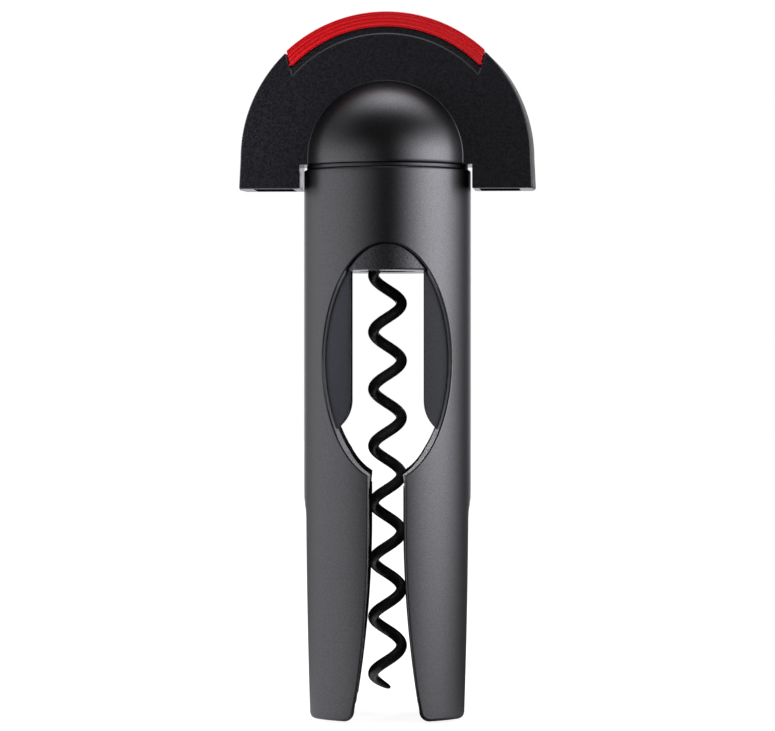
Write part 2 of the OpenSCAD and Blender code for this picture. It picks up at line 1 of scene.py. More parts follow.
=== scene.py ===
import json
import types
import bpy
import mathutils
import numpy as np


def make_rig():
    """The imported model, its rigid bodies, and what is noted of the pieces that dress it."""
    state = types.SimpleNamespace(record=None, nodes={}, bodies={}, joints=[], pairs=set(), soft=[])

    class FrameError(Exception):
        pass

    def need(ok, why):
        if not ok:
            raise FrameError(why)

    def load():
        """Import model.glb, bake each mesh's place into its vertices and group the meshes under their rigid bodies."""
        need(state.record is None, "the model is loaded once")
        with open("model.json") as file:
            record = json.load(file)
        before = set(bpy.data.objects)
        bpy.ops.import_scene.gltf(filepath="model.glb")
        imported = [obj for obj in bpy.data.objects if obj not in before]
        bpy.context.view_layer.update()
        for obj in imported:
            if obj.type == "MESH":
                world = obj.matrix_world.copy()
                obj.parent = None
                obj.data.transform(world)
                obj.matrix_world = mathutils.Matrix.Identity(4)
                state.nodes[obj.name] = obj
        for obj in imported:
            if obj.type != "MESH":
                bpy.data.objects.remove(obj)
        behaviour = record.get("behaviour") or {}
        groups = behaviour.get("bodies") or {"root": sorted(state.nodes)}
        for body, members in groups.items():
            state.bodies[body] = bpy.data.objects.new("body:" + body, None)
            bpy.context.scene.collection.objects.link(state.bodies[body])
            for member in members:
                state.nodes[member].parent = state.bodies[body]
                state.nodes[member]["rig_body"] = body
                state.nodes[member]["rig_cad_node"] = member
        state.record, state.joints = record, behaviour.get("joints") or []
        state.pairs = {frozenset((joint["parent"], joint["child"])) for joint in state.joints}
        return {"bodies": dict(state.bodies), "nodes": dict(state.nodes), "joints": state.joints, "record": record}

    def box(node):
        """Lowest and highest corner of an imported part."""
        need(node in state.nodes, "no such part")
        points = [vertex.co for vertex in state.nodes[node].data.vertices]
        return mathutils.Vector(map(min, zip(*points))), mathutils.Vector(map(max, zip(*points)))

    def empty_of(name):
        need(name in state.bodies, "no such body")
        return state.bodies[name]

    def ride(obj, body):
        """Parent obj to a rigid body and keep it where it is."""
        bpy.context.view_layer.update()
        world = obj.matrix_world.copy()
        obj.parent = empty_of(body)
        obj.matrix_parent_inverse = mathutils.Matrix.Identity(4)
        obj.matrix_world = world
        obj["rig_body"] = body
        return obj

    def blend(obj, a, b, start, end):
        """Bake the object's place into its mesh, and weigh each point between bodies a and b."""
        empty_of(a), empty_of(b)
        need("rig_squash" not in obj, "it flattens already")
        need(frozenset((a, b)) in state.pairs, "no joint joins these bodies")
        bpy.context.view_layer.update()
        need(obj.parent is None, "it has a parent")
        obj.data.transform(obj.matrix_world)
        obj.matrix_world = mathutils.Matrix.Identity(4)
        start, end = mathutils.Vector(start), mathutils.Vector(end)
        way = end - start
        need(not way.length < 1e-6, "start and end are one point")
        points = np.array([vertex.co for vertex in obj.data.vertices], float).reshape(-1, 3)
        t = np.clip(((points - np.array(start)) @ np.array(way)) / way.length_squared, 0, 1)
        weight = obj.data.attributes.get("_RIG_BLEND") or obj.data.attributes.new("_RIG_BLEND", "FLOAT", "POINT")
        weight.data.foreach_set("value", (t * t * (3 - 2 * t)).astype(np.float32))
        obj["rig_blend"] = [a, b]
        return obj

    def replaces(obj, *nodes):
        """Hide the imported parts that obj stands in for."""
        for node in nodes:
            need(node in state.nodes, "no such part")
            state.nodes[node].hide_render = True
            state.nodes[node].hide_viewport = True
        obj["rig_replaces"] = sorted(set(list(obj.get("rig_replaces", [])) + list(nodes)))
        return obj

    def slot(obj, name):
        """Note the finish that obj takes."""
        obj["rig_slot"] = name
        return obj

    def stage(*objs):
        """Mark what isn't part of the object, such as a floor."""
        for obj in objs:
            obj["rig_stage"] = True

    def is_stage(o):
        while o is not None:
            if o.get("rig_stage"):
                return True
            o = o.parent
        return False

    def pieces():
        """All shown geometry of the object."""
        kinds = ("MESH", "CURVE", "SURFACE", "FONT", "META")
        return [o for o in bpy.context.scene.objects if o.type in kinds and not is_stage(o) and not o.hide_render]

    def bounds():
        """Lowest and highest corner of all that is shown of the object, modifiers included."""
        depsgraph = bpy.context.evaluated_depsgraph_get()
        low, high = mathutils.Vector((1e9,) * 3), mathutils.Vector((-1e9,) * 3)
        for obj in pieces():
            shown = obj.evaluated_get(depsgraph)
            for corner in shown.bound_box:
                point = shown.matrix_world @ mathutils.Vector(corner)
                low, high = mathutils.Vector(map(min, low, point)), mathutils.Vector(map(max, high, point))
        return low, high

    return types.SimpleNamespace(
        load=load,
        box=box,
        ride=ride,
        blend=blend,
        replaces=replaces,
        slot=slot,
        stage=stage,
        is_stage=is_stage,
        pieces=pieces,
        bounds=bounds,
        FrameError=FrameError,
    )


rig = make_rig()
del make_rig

bl_info = {
    "name": "Self-pulling corkscrew",
    "version": (1, 0, 0),
    "blender": (4, 5, 0),
    "location": "View3D > Sidebar > Corkscrew",
    "description": "Builds the visible pieces of a corkscrew round its packed CAD frame",
    "category": "Add Mesh",
}

import json
import math
import sys

import bmesh
import bpy
import numpy as np
from bpy.props import FloatProperty, FloatVectorProperty, PointerProperty

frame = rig.load()
CAD_BOX = [list(corner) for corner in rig.bounds()]

DEG = math.pi / 180


def reach(node, axis):
    """Highest coordinate of a packed node along an axis, to a tenth of a millimetre."""
    return round(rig.box(node)[1][axis] * 1000, 1)


# Sizes in millimetres, as in the part's source. HANDLE_R is 0.2 less than there, because the rim's draft
# adds to it, and GRIP_R is 0.01 less. LEG_TOP is the top of the gap between the legs and the tube.
TUBE_R = reach("frame_shell", 1)
TUBE_TOP = reach("frame_shell", 2)
TUBE_IN = 17.4
WINDOW = (14.7, 27.3, 83.1)  # half width, half height and middle's height
SLOT_X = 4.05
FOOT_X = 7.5
FLARE_TOP = 45.0
FOOT_CORNER = 2.4
LEG_IN = 16.4
FLAT_H = 47.0
FLAT_OUT_H = 6.0
LEG_TOP = 61.9
WALL_Z = (54.0, 104.3)  # heights between which the window's walls are bare and lean in
SLEEVE_R = 17.35
SLEEVE_FLOOR = 104.2
SEAT = 129.0
DOME_Z = 130.5
HANDLE_R = 34.0
GRIP_R = 34.19
HANDLE_Y = 7.5
ARM_X = 20.25
ARM_FOOT = 123.4
HANDLE_TURN = -3.4
PAD_TURN = -0.7


# What a user would change


def linear(text):
    """An sRGB hex colour as the linear RGBA that a shader takes."""
    srgb = np.array([int(text[i:i + 2], 16) for i in (1, 3, 5)]) / 255
    value = np.where(srgb <= 0.04045, srgb / 12.92, ((srgb + 0.055) / 1.055) ** 2.4)
    return (*value.tolist(), 1.0)


def length(name, description, mm):
    return FloatProperty(name=name, description=description, default=mm / 1000, min=0.0, precision=5,
                         unit="LENGTH", subtype="DISTANCE")


def colour(name, description, text):
    return FloatVectorProperty(name=name, description=description, default=linear(text), size=4,
                               min=0.0, max=1.0, subtype="COLOR")


def factor(name, description, value, high=1.0):
    return FloatProperty(name=name, description=description, default=value, min=0.0, max=high,
                         subtype="FACTOR")


class TubeSettings(bpy.types.PropertyGroup):
    """Tube, legs and domes"""
    window_edge: length("Window edge", "Rounding of the window's edge at its sides", 0.32)
    top_edge: length("Window top", "Rounding of the window's edge at its top", 0.42)
    slot_edge: length("Slot edge", "Rounding of the edges along the slot between the legs", 0.5)
    foot_edge: length("Foot edge", "Rounding under the feet", 0.6)
    wall_draft: length("Wall draft", "How far the window's walls lean in, for the mould", 0.85)
    dome_cove: length("Dome cove", "Hollow rounding where a dome meets the handle's face", 0.22)
    lacquer: colour("Lacquer", "Lacquer between the flakes", "#5a5a5c")
    # The walls' light grey is partly the bare moulding and partly painted light: it is drawn lighter to stand in for
    # the light falling on the cut faces.
    bare: colour("Bare wall", "Moulded walls of the window and the slot, which the lacquer misses", "#8a8b8e")
    flakes: colour("Flakes", "Metal flakes in the lacquer", "#6c6c6e")
    flake_size: length("Flake size", "Size at which the flakes are drawn", 0.26)
    roughness: factor("Roughness", "How far the lacquer spreads a reflection", 0.31)


class LinerSettings(bpy.types.PropertyGroup):
    """Liner, slip ring and neck pads"""
    edge: length("Liner edge", "Rounding of the openings' edges", 0.25)
    rise: length("Rise", "How far the liner's faces stand out into the windows", 1.2)
    ring_edge: length("Ring edge", "Rounding of the slip ring's edges", 0.2)
    pad_edge: length("Pad edge", "Rounding of the pads' ends", 0.3)
    plastic: colour("Liner", "Dark grey plastic of the liner", "#24252b")
    worn: colour("Liner, lighter", "Lighter places on the liner", "#2b2c33")
    segment_dark: colour("Face lacquer, darker", "Lacquer between the grains of the windows' tops", "#4c4c4f")
    segment: colour("Face lacquer", "Lacquer on the grains of the windows' tops", "#78787c")
    ring: colour("Slip ring", "Satin grey of the slip ring", "#56565a")
    rubber: colour("Neck rubber", "Black rubber of the pads", "#111112")
    grain: length("Grain", "Size of the moulded grain", 0.3)


class HandleSettings(bpy.types.PropertyGroup):
    """Handle and its soft grip"""
    rim_edge: length("Rim edge", "Rounding between the handle's face and its rim", 0.36)
    draft: length("Draft", "How far the rim stands out at the parting line, for the mould", 0.65)
    flare: length("Flare", "How far the arms lean out at their ends", 0.35)
    recess: length("Recess", "Depth of the recess round the grip", 0.5)
    end_lean: factor("Lean", "Sideways run of the grip's end line for each unit of height", 0.3)
    ridge_pitch: length("Ridge pitch", "Distance from one ridge of the grip to the next", 0.82)
    ridge_depth: length("Ridge depth", "Depth of the grooves between the ridges", 0.3)
    plastic: colour("Handle", "Black plastic of the handle", "#0d0d11")
    worn: colour("Handle, lighter", "Tops of the grains on the handle's faces", "#1e1e24")
    # Painted highlight: the handle's edges and sides are drawn in this lighter black, and they are also glossier.
    edges: colour("Handle's edges", "Black plastic, highlight_painted along the handle's edges", "#2e2e33")
    grain: length("Grain", "Size of the spark-eroded grain", 0.5)
    rubber: colour("Grip", "Red rubber of the grip", "#c6000e")


class WormSettings(bpy.types.PropertyGroup):
    """Worm and the hidden metal"""
    coating: colour("Coating", "Black coating of the wire", "#232326")
    wave: length("Waves", "Size of the waves in the dipped coating", 1.1)
    steel: colour("Steel", "Zinc-plated steel of the screws and the clamp", "#b8b8bb")


class StudioSettings(bpy.types.PropertyGroup):
    """Lights, floor and camera"""
    right_box: factor("Right box", "Strength of the large soft box on the right", 3.9, 10.0)
    left_box: factor("Left box", "Strength of the soft box on the left", 1.0, 10.0)
    top_box: factor("Top box", "Strength of the soft box overhead", 2.6, 10.0)
    lamps: factor("Lamps", "Level of the lamps that light matt surfaces", 1.0, 4.0)
    floor: colour("Floor", "Pale matt floor", "#9a9a9a")
    distance: length("Distance", "From the worm's axis to the camera", 820.0)


# Materials


def add(tree, kind, inputs=None, **settings):
    """Adds a shader node: settings are its attributes, inputs its sockets' values or what feeds them."""
    node = tree.nodes.new("ShaderNode" + kind)
    for key, value in settings.items():
        setattr(node, key, value)
    for key, value in (inputs or {}).items():
        if isinstance(value, bpy.types.NodeSocket):
            tree.links.new(value, node.inputs[key])
        else:
            node.inputs[key].default_value = value
    return node


def new_material(name, **principled):
    """A material with a Principled shader, whose plain sockets are set, and the piece's own coordinates."""
    mat = bpy.data.materials.new(name)
    mat.use_nodes = True
    tree = mat.node_tree
    tree.nodes.clear()
    shader = add(tree, "BsdfPrincipled", principled)
    out = add(tree, "OutputMaterial", {"Surface": shader.outputs["BSDF"]})
    place = add(tree, "TexCoord").outputs["Object"]
    return mat, tree, shader, out, place


def lacquered(name, dark, light, size, rough):
    """Metallised lacquer sprayed on moulded ABS: a dull metal's reflection with a fine speckle of flakes.

    Real flakes are far finer than a pixel, so grains of about a quarter of a millimetre are drawn.
    """
    mat, tree, shader, out, place = new_material(name, **{"Metallic": 1.0, "Roughness": rough})
    flake = add(tree, "TexNoise", {"Vector": place, "Scale": 1 / size, "Detail": 2.0})
    part = add(tree, "MapRange", {"Value": flake.outputs["Fac"], "From Min": 0.3, "From Max": 0.7})
    tone = add(tree, "Mix", {0: part.outputs[0], 6: dark, 7: light}, data_type="RGBA")
    bump = add(tree, "Bump", {"Height": flake.outputs["Fac"], "Strength": 0.16, "Distance": 0.00005})
    tree.links.new(tone.outputs[2], shader.inputs["Base Color"])
    tree.links.new(bump.outputs["Normal"], shader.inputs["Normal"])
    return mat


def grained(name, base, worn, rough, size, depth):
    """ABS moulded in a spark-eroded tool: matt, with small even grains that are a little glossier on top."""
    mat, tree, shader, out, place = new_material(name, **{"Specular IOR Level": 0.3})
    grain = add(tree, "TexNoise", {"Vector": place, "Scale": 1 / size, "Detail": 1.5, "Roughness": 0.6})
    part = add(tree, "MapRange", {"Value": grain.outputs["Fac"], "From Min": 0.36, "From Max": 0.64})
    tone = add(tree, "Mix", {0: part.outputs[0], 6: base, 7: worn}, data_type="RGBA")
    gloss = add(tree, "MapRange", {"Value": grain.outputs["Fac"], "From Min": 0.3, "From Max": 0.7,
                                             "To Min": rough + 0.06, "To Max": rough - 0.06})
    bump = add(tree, "Bump", {"Height": grain.outputs["Fac"], "Strength": 0.6, "Distance": depth})
    tree.links.new(tone.outputs[2], shader.inputs["Base Color"])
    tree.links.new(gloss.outputs[0], shader.inputs["Roughness"])
    tree.links.new(bump.outputs["Normal"], shader.inputs["Normal"])
    return mat


def smooth(name, base, rough, metallic=0.0, change=0.04, spot=0.0015):
    """A polished moulding or a turned skin, whose gloss changes a little from place to place with use."""
    mat, tree, shader, out, place = new_material(name, **{"Base Color": base, "Metallic": metallic})
    cloud = add(tree, "TexNoise", {"Vector": place, "Scale": 1 / spot, "Detail": 4.0})
    gloss = add(tree, "MapRange", {"Value": cloud.outputs["Fac"], "From Min": 0.3, "From Max": 0.7,
                                             "To Min": rough - change, "To Max": rough + change})
    tree.links.new(gloss.outputs[0], shader.inputs["Roughness"])
    return mat


def dipped(name, base, wave):
    """Baked non-stick coating on steel wire: black and half gloss, with the slight waves of a dipped film."""
    mat, tree, shader, out, place = new_material(name, **{"Base Color": base})
    film = add(tree, "TexNoise", {"Vector": place, "Scale": 1 / wave, "Detail": 3.0, "Roughness": 0.6})
    gloss = add(tree, "MapRange", {"Value": film.outputs["Fac"], "From Min": 0.3, "From Max": 0.7,
                                             "To Min": 0.2, "To Max": 0.5})
    bump = add(tree, "Bump", {"Height": film.outputs["Fac"], "Strength": 0.8, "Distance": 0.00016})
    tree.links.new(gloss.outputs[0], shader.inputs["Roughness"])
    tree.links.new(bump.outputs["Normal"], shader.inputs["Normal"])
    return mat


MADE = {}


def finish(kind):
    """The material of that kind, made when a piece first asks for it."""
    scene = bpy.context.scene
    tube, liner, handle, worm = (
        scene.corkscrew_tube, scene.corkscrew_liner, scene.corkscrew_handle, scene.corkscrew_worm)
    makers = {
        "shell": lambda: lacquered("metallised lacquer on moulded ABS", tube.lacquer, tube.flakes,
                                   tube.flake_size, tube.roughness),
        "segment": lambda: lacquered("lacquer on grained ABS", liner.segment_dark, liner.segment,
                                     liner.grain, 0.36),
        # Cut walls: light grey, partly the bare moulding and partly painted light on the cut faces.
        "wall": lambda: smooth("bare_ABS_and_painted_light", tube.bare, 0.5),
        "liner": lambda: grained("grained dark grey ABS", liner.plastic, liner.worn, 0.5, liner.grain,
                                 0.00003),
        "liner polished": lambda: smooth("polished dark grey ABS", liner.plastic, 0.2),
        "ring": lambda: smooth("satin grey acetal", liner.ring, 0.34, metallic=1.0),
        "neck rubber": lambda: smooth("moulded black rubber", liner.rubber, 0.55),
        "black": lambda: grained("spark-grained black ABS", handle.plastic, handle.worn, 0.42,
                                 handle.grain, 0.00003),
        # Edges and sides: glossier black, drawn lighter as a painted highlight.
        "black polished": lambda: smooth("highlight_painted black ABS", handle.edges, 0.2),
        "black rim": lambda: smooth("stoned black ABS", handle.plastic, 0.36),
        "grip": lambda: smooth("red thermoplastic rubber", handle.rubber, 0.36),
        "worm": lambda: dipped("baked non-stick coating on steel wire", worm.coating, worm.wave),
        "steel": lambda: smooth("zinc-plated steel", worm.steel, 0.3, metallic=1.0),
        "bush": lambda: smooth("dark acetal bush", linear("#1f1f21"), 0.45),
        "hub": lambda: smooth("black glass-filled nylon", linear("#161617"), 0.5),
    }
    if kind not in MADE:
        MADE[kind] = makers[kind]()
    return MADE[kind]


# Meshes: every surface is worked out in millimetres as arrays of points


def put(name, grids, material, body, nodes, slot, loops=(), sharp=32, turn=0.0, more=()):
    """Joins grids of points, and flat faces given by their outlines, to one closed piece on a body.

    More holds pairs of a further finish and a test, which picks its faces by their middles and directions.
    """
    old = bpy.data.objects.get(name)
    if old:
        bpy.data.objects.remove(old)
    points, faces = [], []
    start = 0
    for grid in grids:
        m, n = grid.shape[:2]
        points.append(grid.reshape(-1, 3))
        at = np.arange(m * n).reshape(m, n) + start
        quads = np.stack([at[:-1, :-1], at[1:, :-1], at[1:, 1:], at[:-1, 1:]], -1).reshape(-1, 4)
        faces.extend(quads.tolist())
        start += m * n
    for loop in loops:
        points.append(loop)
        faces.append(list(range(start, start + len(loop))))
        start += len(loop)
    c, s = math.cos(turn * DEG), math.sin(turn * DEG)
    about = np.array([[c, s, 0], [-s, c, 0], [0, 0, 1]])
    mesh = bpy.data.meshes.new(name)
    mesh.from_pydata((np.concatenate(points) @ about / 1000).tolist(), [], faces)
    bm = bmesh.new()
    bm.from_mesh(mesh)
    bmesh.ops.remove_doubles(bm, verts=bm.verts, dist=2e-6)
    bmesh.ops.dissolve_degenerate(bm, edges=bm.edges, dist=1e-6)
    bmesh.ops.recalc_face_normals(bm, faces=bm.faces)
    bm.to_mesh(mesh)
    bm.free()
    mesh.polygons.foreach_set("use_smooth", [True] * len(mesh.polygons))
    mesh.set_sharp_from_angle(angle=sharp * DEG)
    mesh.materials.append(material)
    if more:
        middle, facing = np.empty(len(mesh.polygons) * 3), np.empty(len(mesh.polygons) * 3)
        mesh.polygons.foreach_get("center", middle)
        mesh.polygons.foreach_get("normal", facing)
        middle, facing = middle.reshape(-1, 3) @ about.T * 1000, facing.reshape(-1, 3) @ about.T
        pick = np.zeros(len(middle), int)
        for i, (extra, test) in enumerate(more):
            mesh.materials.append(extra)
            pick[test(middle, facing)] = i + 1
        mesh.polygons.foreach_set("material_index", pick)
    obj = bpy.data.objects.new(name, mesh)
    bpy.context.scene.collection.objects.link(obj)
    if body:
        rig.ride(obj, body)
    if nodes:
        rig.replaces(obj, *nodes)
    if slot:
        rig.slot(obj, slot)
    return obj


def between(first, last, share):
    """Points on the way from one array of points to another."""
    share = np.asarray(share).reshape(1, -1, 1)
    return first[:, None] * (1 - share) + last[:, None] * share


def swing(first, last, steps):
    """Unit vectors that turn evenly from the first direction to the last one, for every column."""
    dot = np.clip((first * last).sum(-1), -1, 1)
    angle = np.arccos(dot)[:, None, None]
    t = np.linspace(0, 1, steps)[None, :, None]
    safe = np.maximum(np.sin(angle), 1e-9)
    return (np.sin((1 - t) * angle) * first[:, None] + np.sin(t * angle) * last[:, None]) / safe


def on_tube(radius, x):
    """Depth, towards the front, of a point at x on a tube round the z axis."""
    return -np.sqrt(np.maximum(radius ** 2 - x ** 2, 0))


def wall_rows(out_c, out_m, out_r, in_c, in_m, in_r, radius_out, radius_in, limit=None):
    """Rows across a wall's edge: a ball rolls along its outer edge, then a flat, then a smaller ball.

    out_c and in_c hold the balls' centres, out_m and in_m the directions square to the cut face.
    """
    n_out = out_c * [1, 1, 0] / np.linalg.norm(out_c[:, :2], axis=1)[:, None]
    n_in = -in_c * [1, 1, 0] / np.linalg.norm(in_c[:, :2], axis=1)[:, None]
    first = out_c[:, None] + out_r[:, None, None] * swing(n_out, out_m, 9)
    last = in_c[:, None] + in_r[:, None, None] * swing(in_m, n_in, 5)
    if limit is not None:
        first = limit(first)
    flat = between(first[:, -1], last[:, 0], np.linspace(0, 1, 4)[1:-1])
    return np.concatenate([first, flat, last], 1)


def prism_centres(edge, toward, r, radius, inside):
    """Centres of a ball that touches a cut straight through a tube and the tube's outside or inside."""
    x, z = edge[:, 0] - r * toward[:, 0], edge[:, 1] - r * toward[:, 1]
    return np.stack([x, on_tube(radius + (r if inside else -r), x), z], -1)


def unroll(points, radius):
    """Angle round the tube from the front, and height, of points on it."""
    return np.stack([np.arctan2(points[..., 0], -points[..., 1]) * radius, points[..., 2]], -1)


def roll(flat, radius):
    """The reverse of unroll."""
    a = flat[..., 0] / radius
    return np.stack([radius * np.sin(a), -radius * np.cos(a), flat[..., 1]], -1)


def direction(vectors):
    """2-D directions in the window's plane as 3-D ones."""
    return np.stack([vectors[:, 0], np.zeros(len(vectors)), vectors[:, 1]], -1)


def turned(grid):
    """The same surface half a turn round the tube's axis."""
    return grid * [-1, -1, 1]


def mirrored_y(grid):
    return grid * [1, -1, 1]


def lathe(profile, angles):
    """A profile of (radius, z) turned round the z axis; angles run from the front."""
    r, z = profile[None, :, 0], profile[None, :, 1]
    a = angles[:, None]
    return np.stack([r * np.sin(a), -r * np.cos(a), np.broadcast_to(z, (len(angles), len(profile)))], -1)


def smoothstep(t):
    """Runs from 0 to 1 with level ends: three times the square less twice the cube."""
    return t * t * (3 - 2 * t)


def quarter_round(r, off):
    """How far a quarter round of radius r draws a surface in, at each distance off from its edge."""
    return r - np.sqrt(np.maximum(0, r * r - np.maximum(0, r - off) ** 2))


def skin_border(side, low, top, k, n):
    """Border of an unrolled skin as n points: up one side in k steps, across, and down the other side."""
    up = np.linspace(0, 1, k + 1)[:, None]
    left = np.array([[-side, low]]) * (1 - up) + np.array([[-side, top]]) * up
    across = np.linspace(0, 1, n - 2 * k)[:, None]
    along = np.array([[-side, top]]) * (1 - across) + np.array([[side, top]]) * across
    return np.concatenate([left, along[1:-1], (left * [-1, 1])[::-1]])


# The tube and its legs


def window_rounding(x, z, tube):
    """Radius of the window's moulded edge: small at the sides, larger at the top and in the slot."""
    share = 1 - np.abs(x) / WINDOW[0]
    side = tube.window_edge * 1000
    full = np.where(z > WINDOW[2], tube.top_edge * 1000, tube.slot_edge * 1000)
    return side + (full - side) * share


def oval(angles):
    """Edge of the window and the direction into it."""
    c, s = np.cos(angles), np.sin(angles)
    edge = np.stack([WINDOW[0] * c, WINDOW[2] + WINDOW[1] * s], -1)
    toward = -np.stack([c / WINDOW[0], s / WINDOW[1]], -1)
    return edge, toward / np.linalg.norm(toward, axis=1)[:, None]


def wall_lean(z, tube):
    """How far the cut's wall leans in at its back: in full beside the open window, not along the slot."""
    full = np.clip((z - WALL_Z[0]) / 8, 0, 1) * np.clip(WALL_Z[1] - z, 0, 1)
    return tube.wall_draft * 1000 * full[:, None]


def frame_front(tube):
    """Front half of the upper tube: the window's edge, the skin round it, inside and outside."""
    low = math.asin((LEG_TOP - WINDOW[2]) / WINDOW[1])
    split = 52 * DEG
    right = np.concatenate([np.linspace(low, split, 64)[:-1], np.linspace(split, math.pi / 2, 40)])
    angles = np.concatenate([math.pi - right, right[::-1][1:]])
    edge, toward = oval(angles)
    r = window_rounding(edge[:, 0], edge[:, 1], tube)
    r_in = np.full(len(r), 0.25)
    rows = wall_rows(
        prism_centres(edge, toward, r, TUBE_R, False), direction(toward), r,
        prism_centres(edge + toward * wall_lean(edge[:, 1], tube), toward, r_in, TUBE_IN, True),
        direction(toward), r_in, TUBE_R, TUBE_IN)
    # The skin runs from the window's edge out to its border
    k = 63
    n = len(angles)
    rim = 0.45

    def skin(line, radius):
        border = skin_border(math.pi / 2 * radius, LEG_TOP, TUBE_TOP - rim, k, n)
        return roll(between(unroll(line, radius), border, np.linspace(0, 1, 26) ** 1.6), radius)

    outer, inner = skin(rows[:, 0], TUBE_R), skin(rows[:, -1], TUBE_IN)
    # Rounded rim on top
    crest = outer[k:n - k, -1]
    a = np.linspace(0, math.pi / 2, 6)
    profile = np.concatenate([
        np.stack([TUBE_R - rim + rim * np.cos(a), TUBE_TOP - rim + rim * np.sin(a)], -1),
        np.stack([TUBE_IN + rim - rim * np.cos(a), TUBE_TOP - rim + rim * np.sin(a)], -1)[::-1]])
    top = lathe(profile, np.arctan2(crest[:, 0], -crest[:, 1]))
    ends = [np.concatenate([outer[i, ::-1], rows[i, 1:-1], inner[i]]) for i in (0, -1)]
    return [rows, outer, inner, top], ends


def cut_walls(p, n):
    """Faces of the walls that the window and the slot cut, without their rounded edges. They take the light grey that
    is partly bare moulding and partly painted light.
    """
    out = (p * n)[:, :2].sum(1) / np.hypot(p[:, 0], p[:, 1])
    steep, beside = 0.6, WINDOW[0] + 0.8
    return (np.abs(out) < steep) & (np.abs(n[:, 1]) < steep) & (np.abs(p[:, 0]) < beside) & (
        p[:, 2] > WALL_Z[0]) & (p[:, 2] < WALL_Z[1])


def make_tube(tube):
    grids, ends = frame_front(tube)
    # The cut walls take the light grey finish, which is partly painted light.
    put("tube_upper", grids + [turned(g) for g in grids], finish("shell"), "frame", ["frame_shell"],
        "satin_shell", loops=ends + [turned(e) for e in ends], more=[(finish("wall"), cut_walls)])


def flat_limit(z):
    """Distance of the finger flat from the worm's axis: a long curve that runs out into the tube."""
    flat_x, flat_top, curve, beyond = 19.09, 62, 3400, 19.9
    base = flat_x - np.maximum(0, flat_top - z) ** 2 / curve
    out = base + (beyond - base) * smoothstep(np.clip((z - FLAT_H) / FLAT_OUT_H, 0, 1))
    r = 1.45  # rounding of the flat's lower end
    low = np.clip(r - z, 0, r)
    return out - r + np.sqrt(r * r - low * low)


def leg_half(tube):
    """Front half of the right leg, from the window's corner round the foot to the middle of its side."""
    low = math.asin((LEG_TOP - WINDOW[2]) / WINDOW[1])
    slot_a = -math.acos(SLOT_X / WINDOW[0])
    e1, m1 = oval(np.linspace(low, slot_a, 15))
    # The window runs into the slot over a short curve
    z2 = np.linspace(e1[-1, 1], FLARE_TOP, 9)[1:]
    z3 = np.linspace(FLARE_TOP, FOOT_CORNER, 36)[1:]
    x3 = SLOT_X + (FOOT_X - SLOT_X) * ((FLARE_TOP - z3) / (FLARE_TOP - FOOT_CORNER)) ** 2
    a4 = np.linspace(180, 270, 13)[1:] * DEG
    e = np.concatenate([
        e1, np.stack([np.full(8, SLOT_X), z2], -1), np.stack([x3, z3], -1),
        np.stack([FOOT_X + FOOT_CORNER + FOOT_CORNER * np.cos(a4),
                  FOOT_CORNER + FOOT_CORNER * np.sin(a4)], -1)])
    step = np.gradient(e, axis=0)
    m = np.stack([step[:, 1], -step[:, 0]], -1)
    m /= np.linalg.norm(m, axis=1)[:, None]
    m[0] = m1[0]
    m[-1] = [0, -1]
    r = window_rounding(e[:, 0], e[:, 1], tube)
    foot_r = tube.foot_edge * 1000
    near = smoothstep(np.clip((8 - e[:, 1]) / 8, 0, 1))
    r = r * (1 - near) + foot_r * near
    r_in = np.full(len(r), 0.25) * (1 - near) + 0.1 * near
    c_out = prism_centres(e, m, r, TUBE_R, False)
    c_in = prism_centres(e + m * wall_lean(e[:, 1], tube), m, r_in, LEG_IN, True)
    # Under the foot the edge goes on round the tube
    t = np.linspace(0, 1, 34)[1:]

    def under(c, ball):
        a0 = math.atan2(c[-1, 0], -c[-1, 1])
        rad = math.hypot(c[-1, 0], c[-1, 1])
        a = a0 + (math.pi / 2 - a0) * t
        return np.stack([rad * np.sin(a), -rad * np.cos(a), np.full(len(a), ball)], -1)

    c_out = np.concatenate([c_out, under(c_out, foot_r)])
    c_in = np.concatenate([c_in, under(c_in, 0.1)])
    down = np.tile([[0.0, 0.0, -1.0]], (len(t), 1))
    m3 = np.concatenate([direction(m), down])
    r = np.concatenate([r, np.full(len(t), foot_r)])
    r_in = np.concatenate([r_in, np.full(len(t), 0.1)])

    def limit(p):
        """Cuts the leg off at the finger flat, with a small rounding where they meet."""
        cap = flat_limit(p[..., 2])
        x = p[..., 0]
        blur = 0.12
        soft = (x + cap - np.sqrt((x - cap) ** 2 + blur * blur)) / 2
        soft = np.where(p[..., 2] < FLAT_H + FLAT_OUT_H, soft, x)
        return np.stack([soft, p[..., 1], p[..., 2]], -1)

    rows = wall_rows(c_out, m3, r, c_in, m3, r_in, TUBE_R, LEG_IN, limit)
    bare = wall_rows(c_out, m3, r, c_in, m3, r_in, TUBE_R, LEG_IN)
    corner = len(e) - 7  # half way round the foot's corner, where two sides of the patch meet

    def skin(line, radius):
        """A patch between the leg's four borders, worked out on the unrolled tube."""
        flat = unroll(line, radius)
        left, bottom = flat[:corner + 1], flat[corner:]
        side = math.pi / 2 * radius
        v = (left[0, 1] - left[:, 1]) / (left[0, 1] - left[-1, 1])
        u = (bottom[:, 0] - bottom[0, 0]) / (bottom[-1, 0] - bottom[0, 0])
        right = np.stack([np.full(len(v), side), LEG_TOP + (bottom[-1, 1] - LEG_TOP) * v], -1)
        top = left[0] + (right[0] - left[0]) * u[:, None]
        uu, vv = u[None, :, None], v[:, None, None]
        patch = ((1 - uu) * left[:, None] + uu * right[:, None] + (1 - vv) * top[None] + vv * bottom[None]
                 - (1 - uu) * (1 - vv) * left[0] - uu * (1 - vv) * right[0]
                 - (1 - uu) * vv * left[-1] - uu * vv * bottom[-1])
        return roll(patch, radius)

    outer = limit(skin(bare[:, 0], TUBE_R))
    inner = skin(rows[:, -1], LEG_IN)
    end = np.concatenate([outer[0, ::-1], rows[0, 1:-1], inner[0]])
    return [rows, outer, inner], [end]


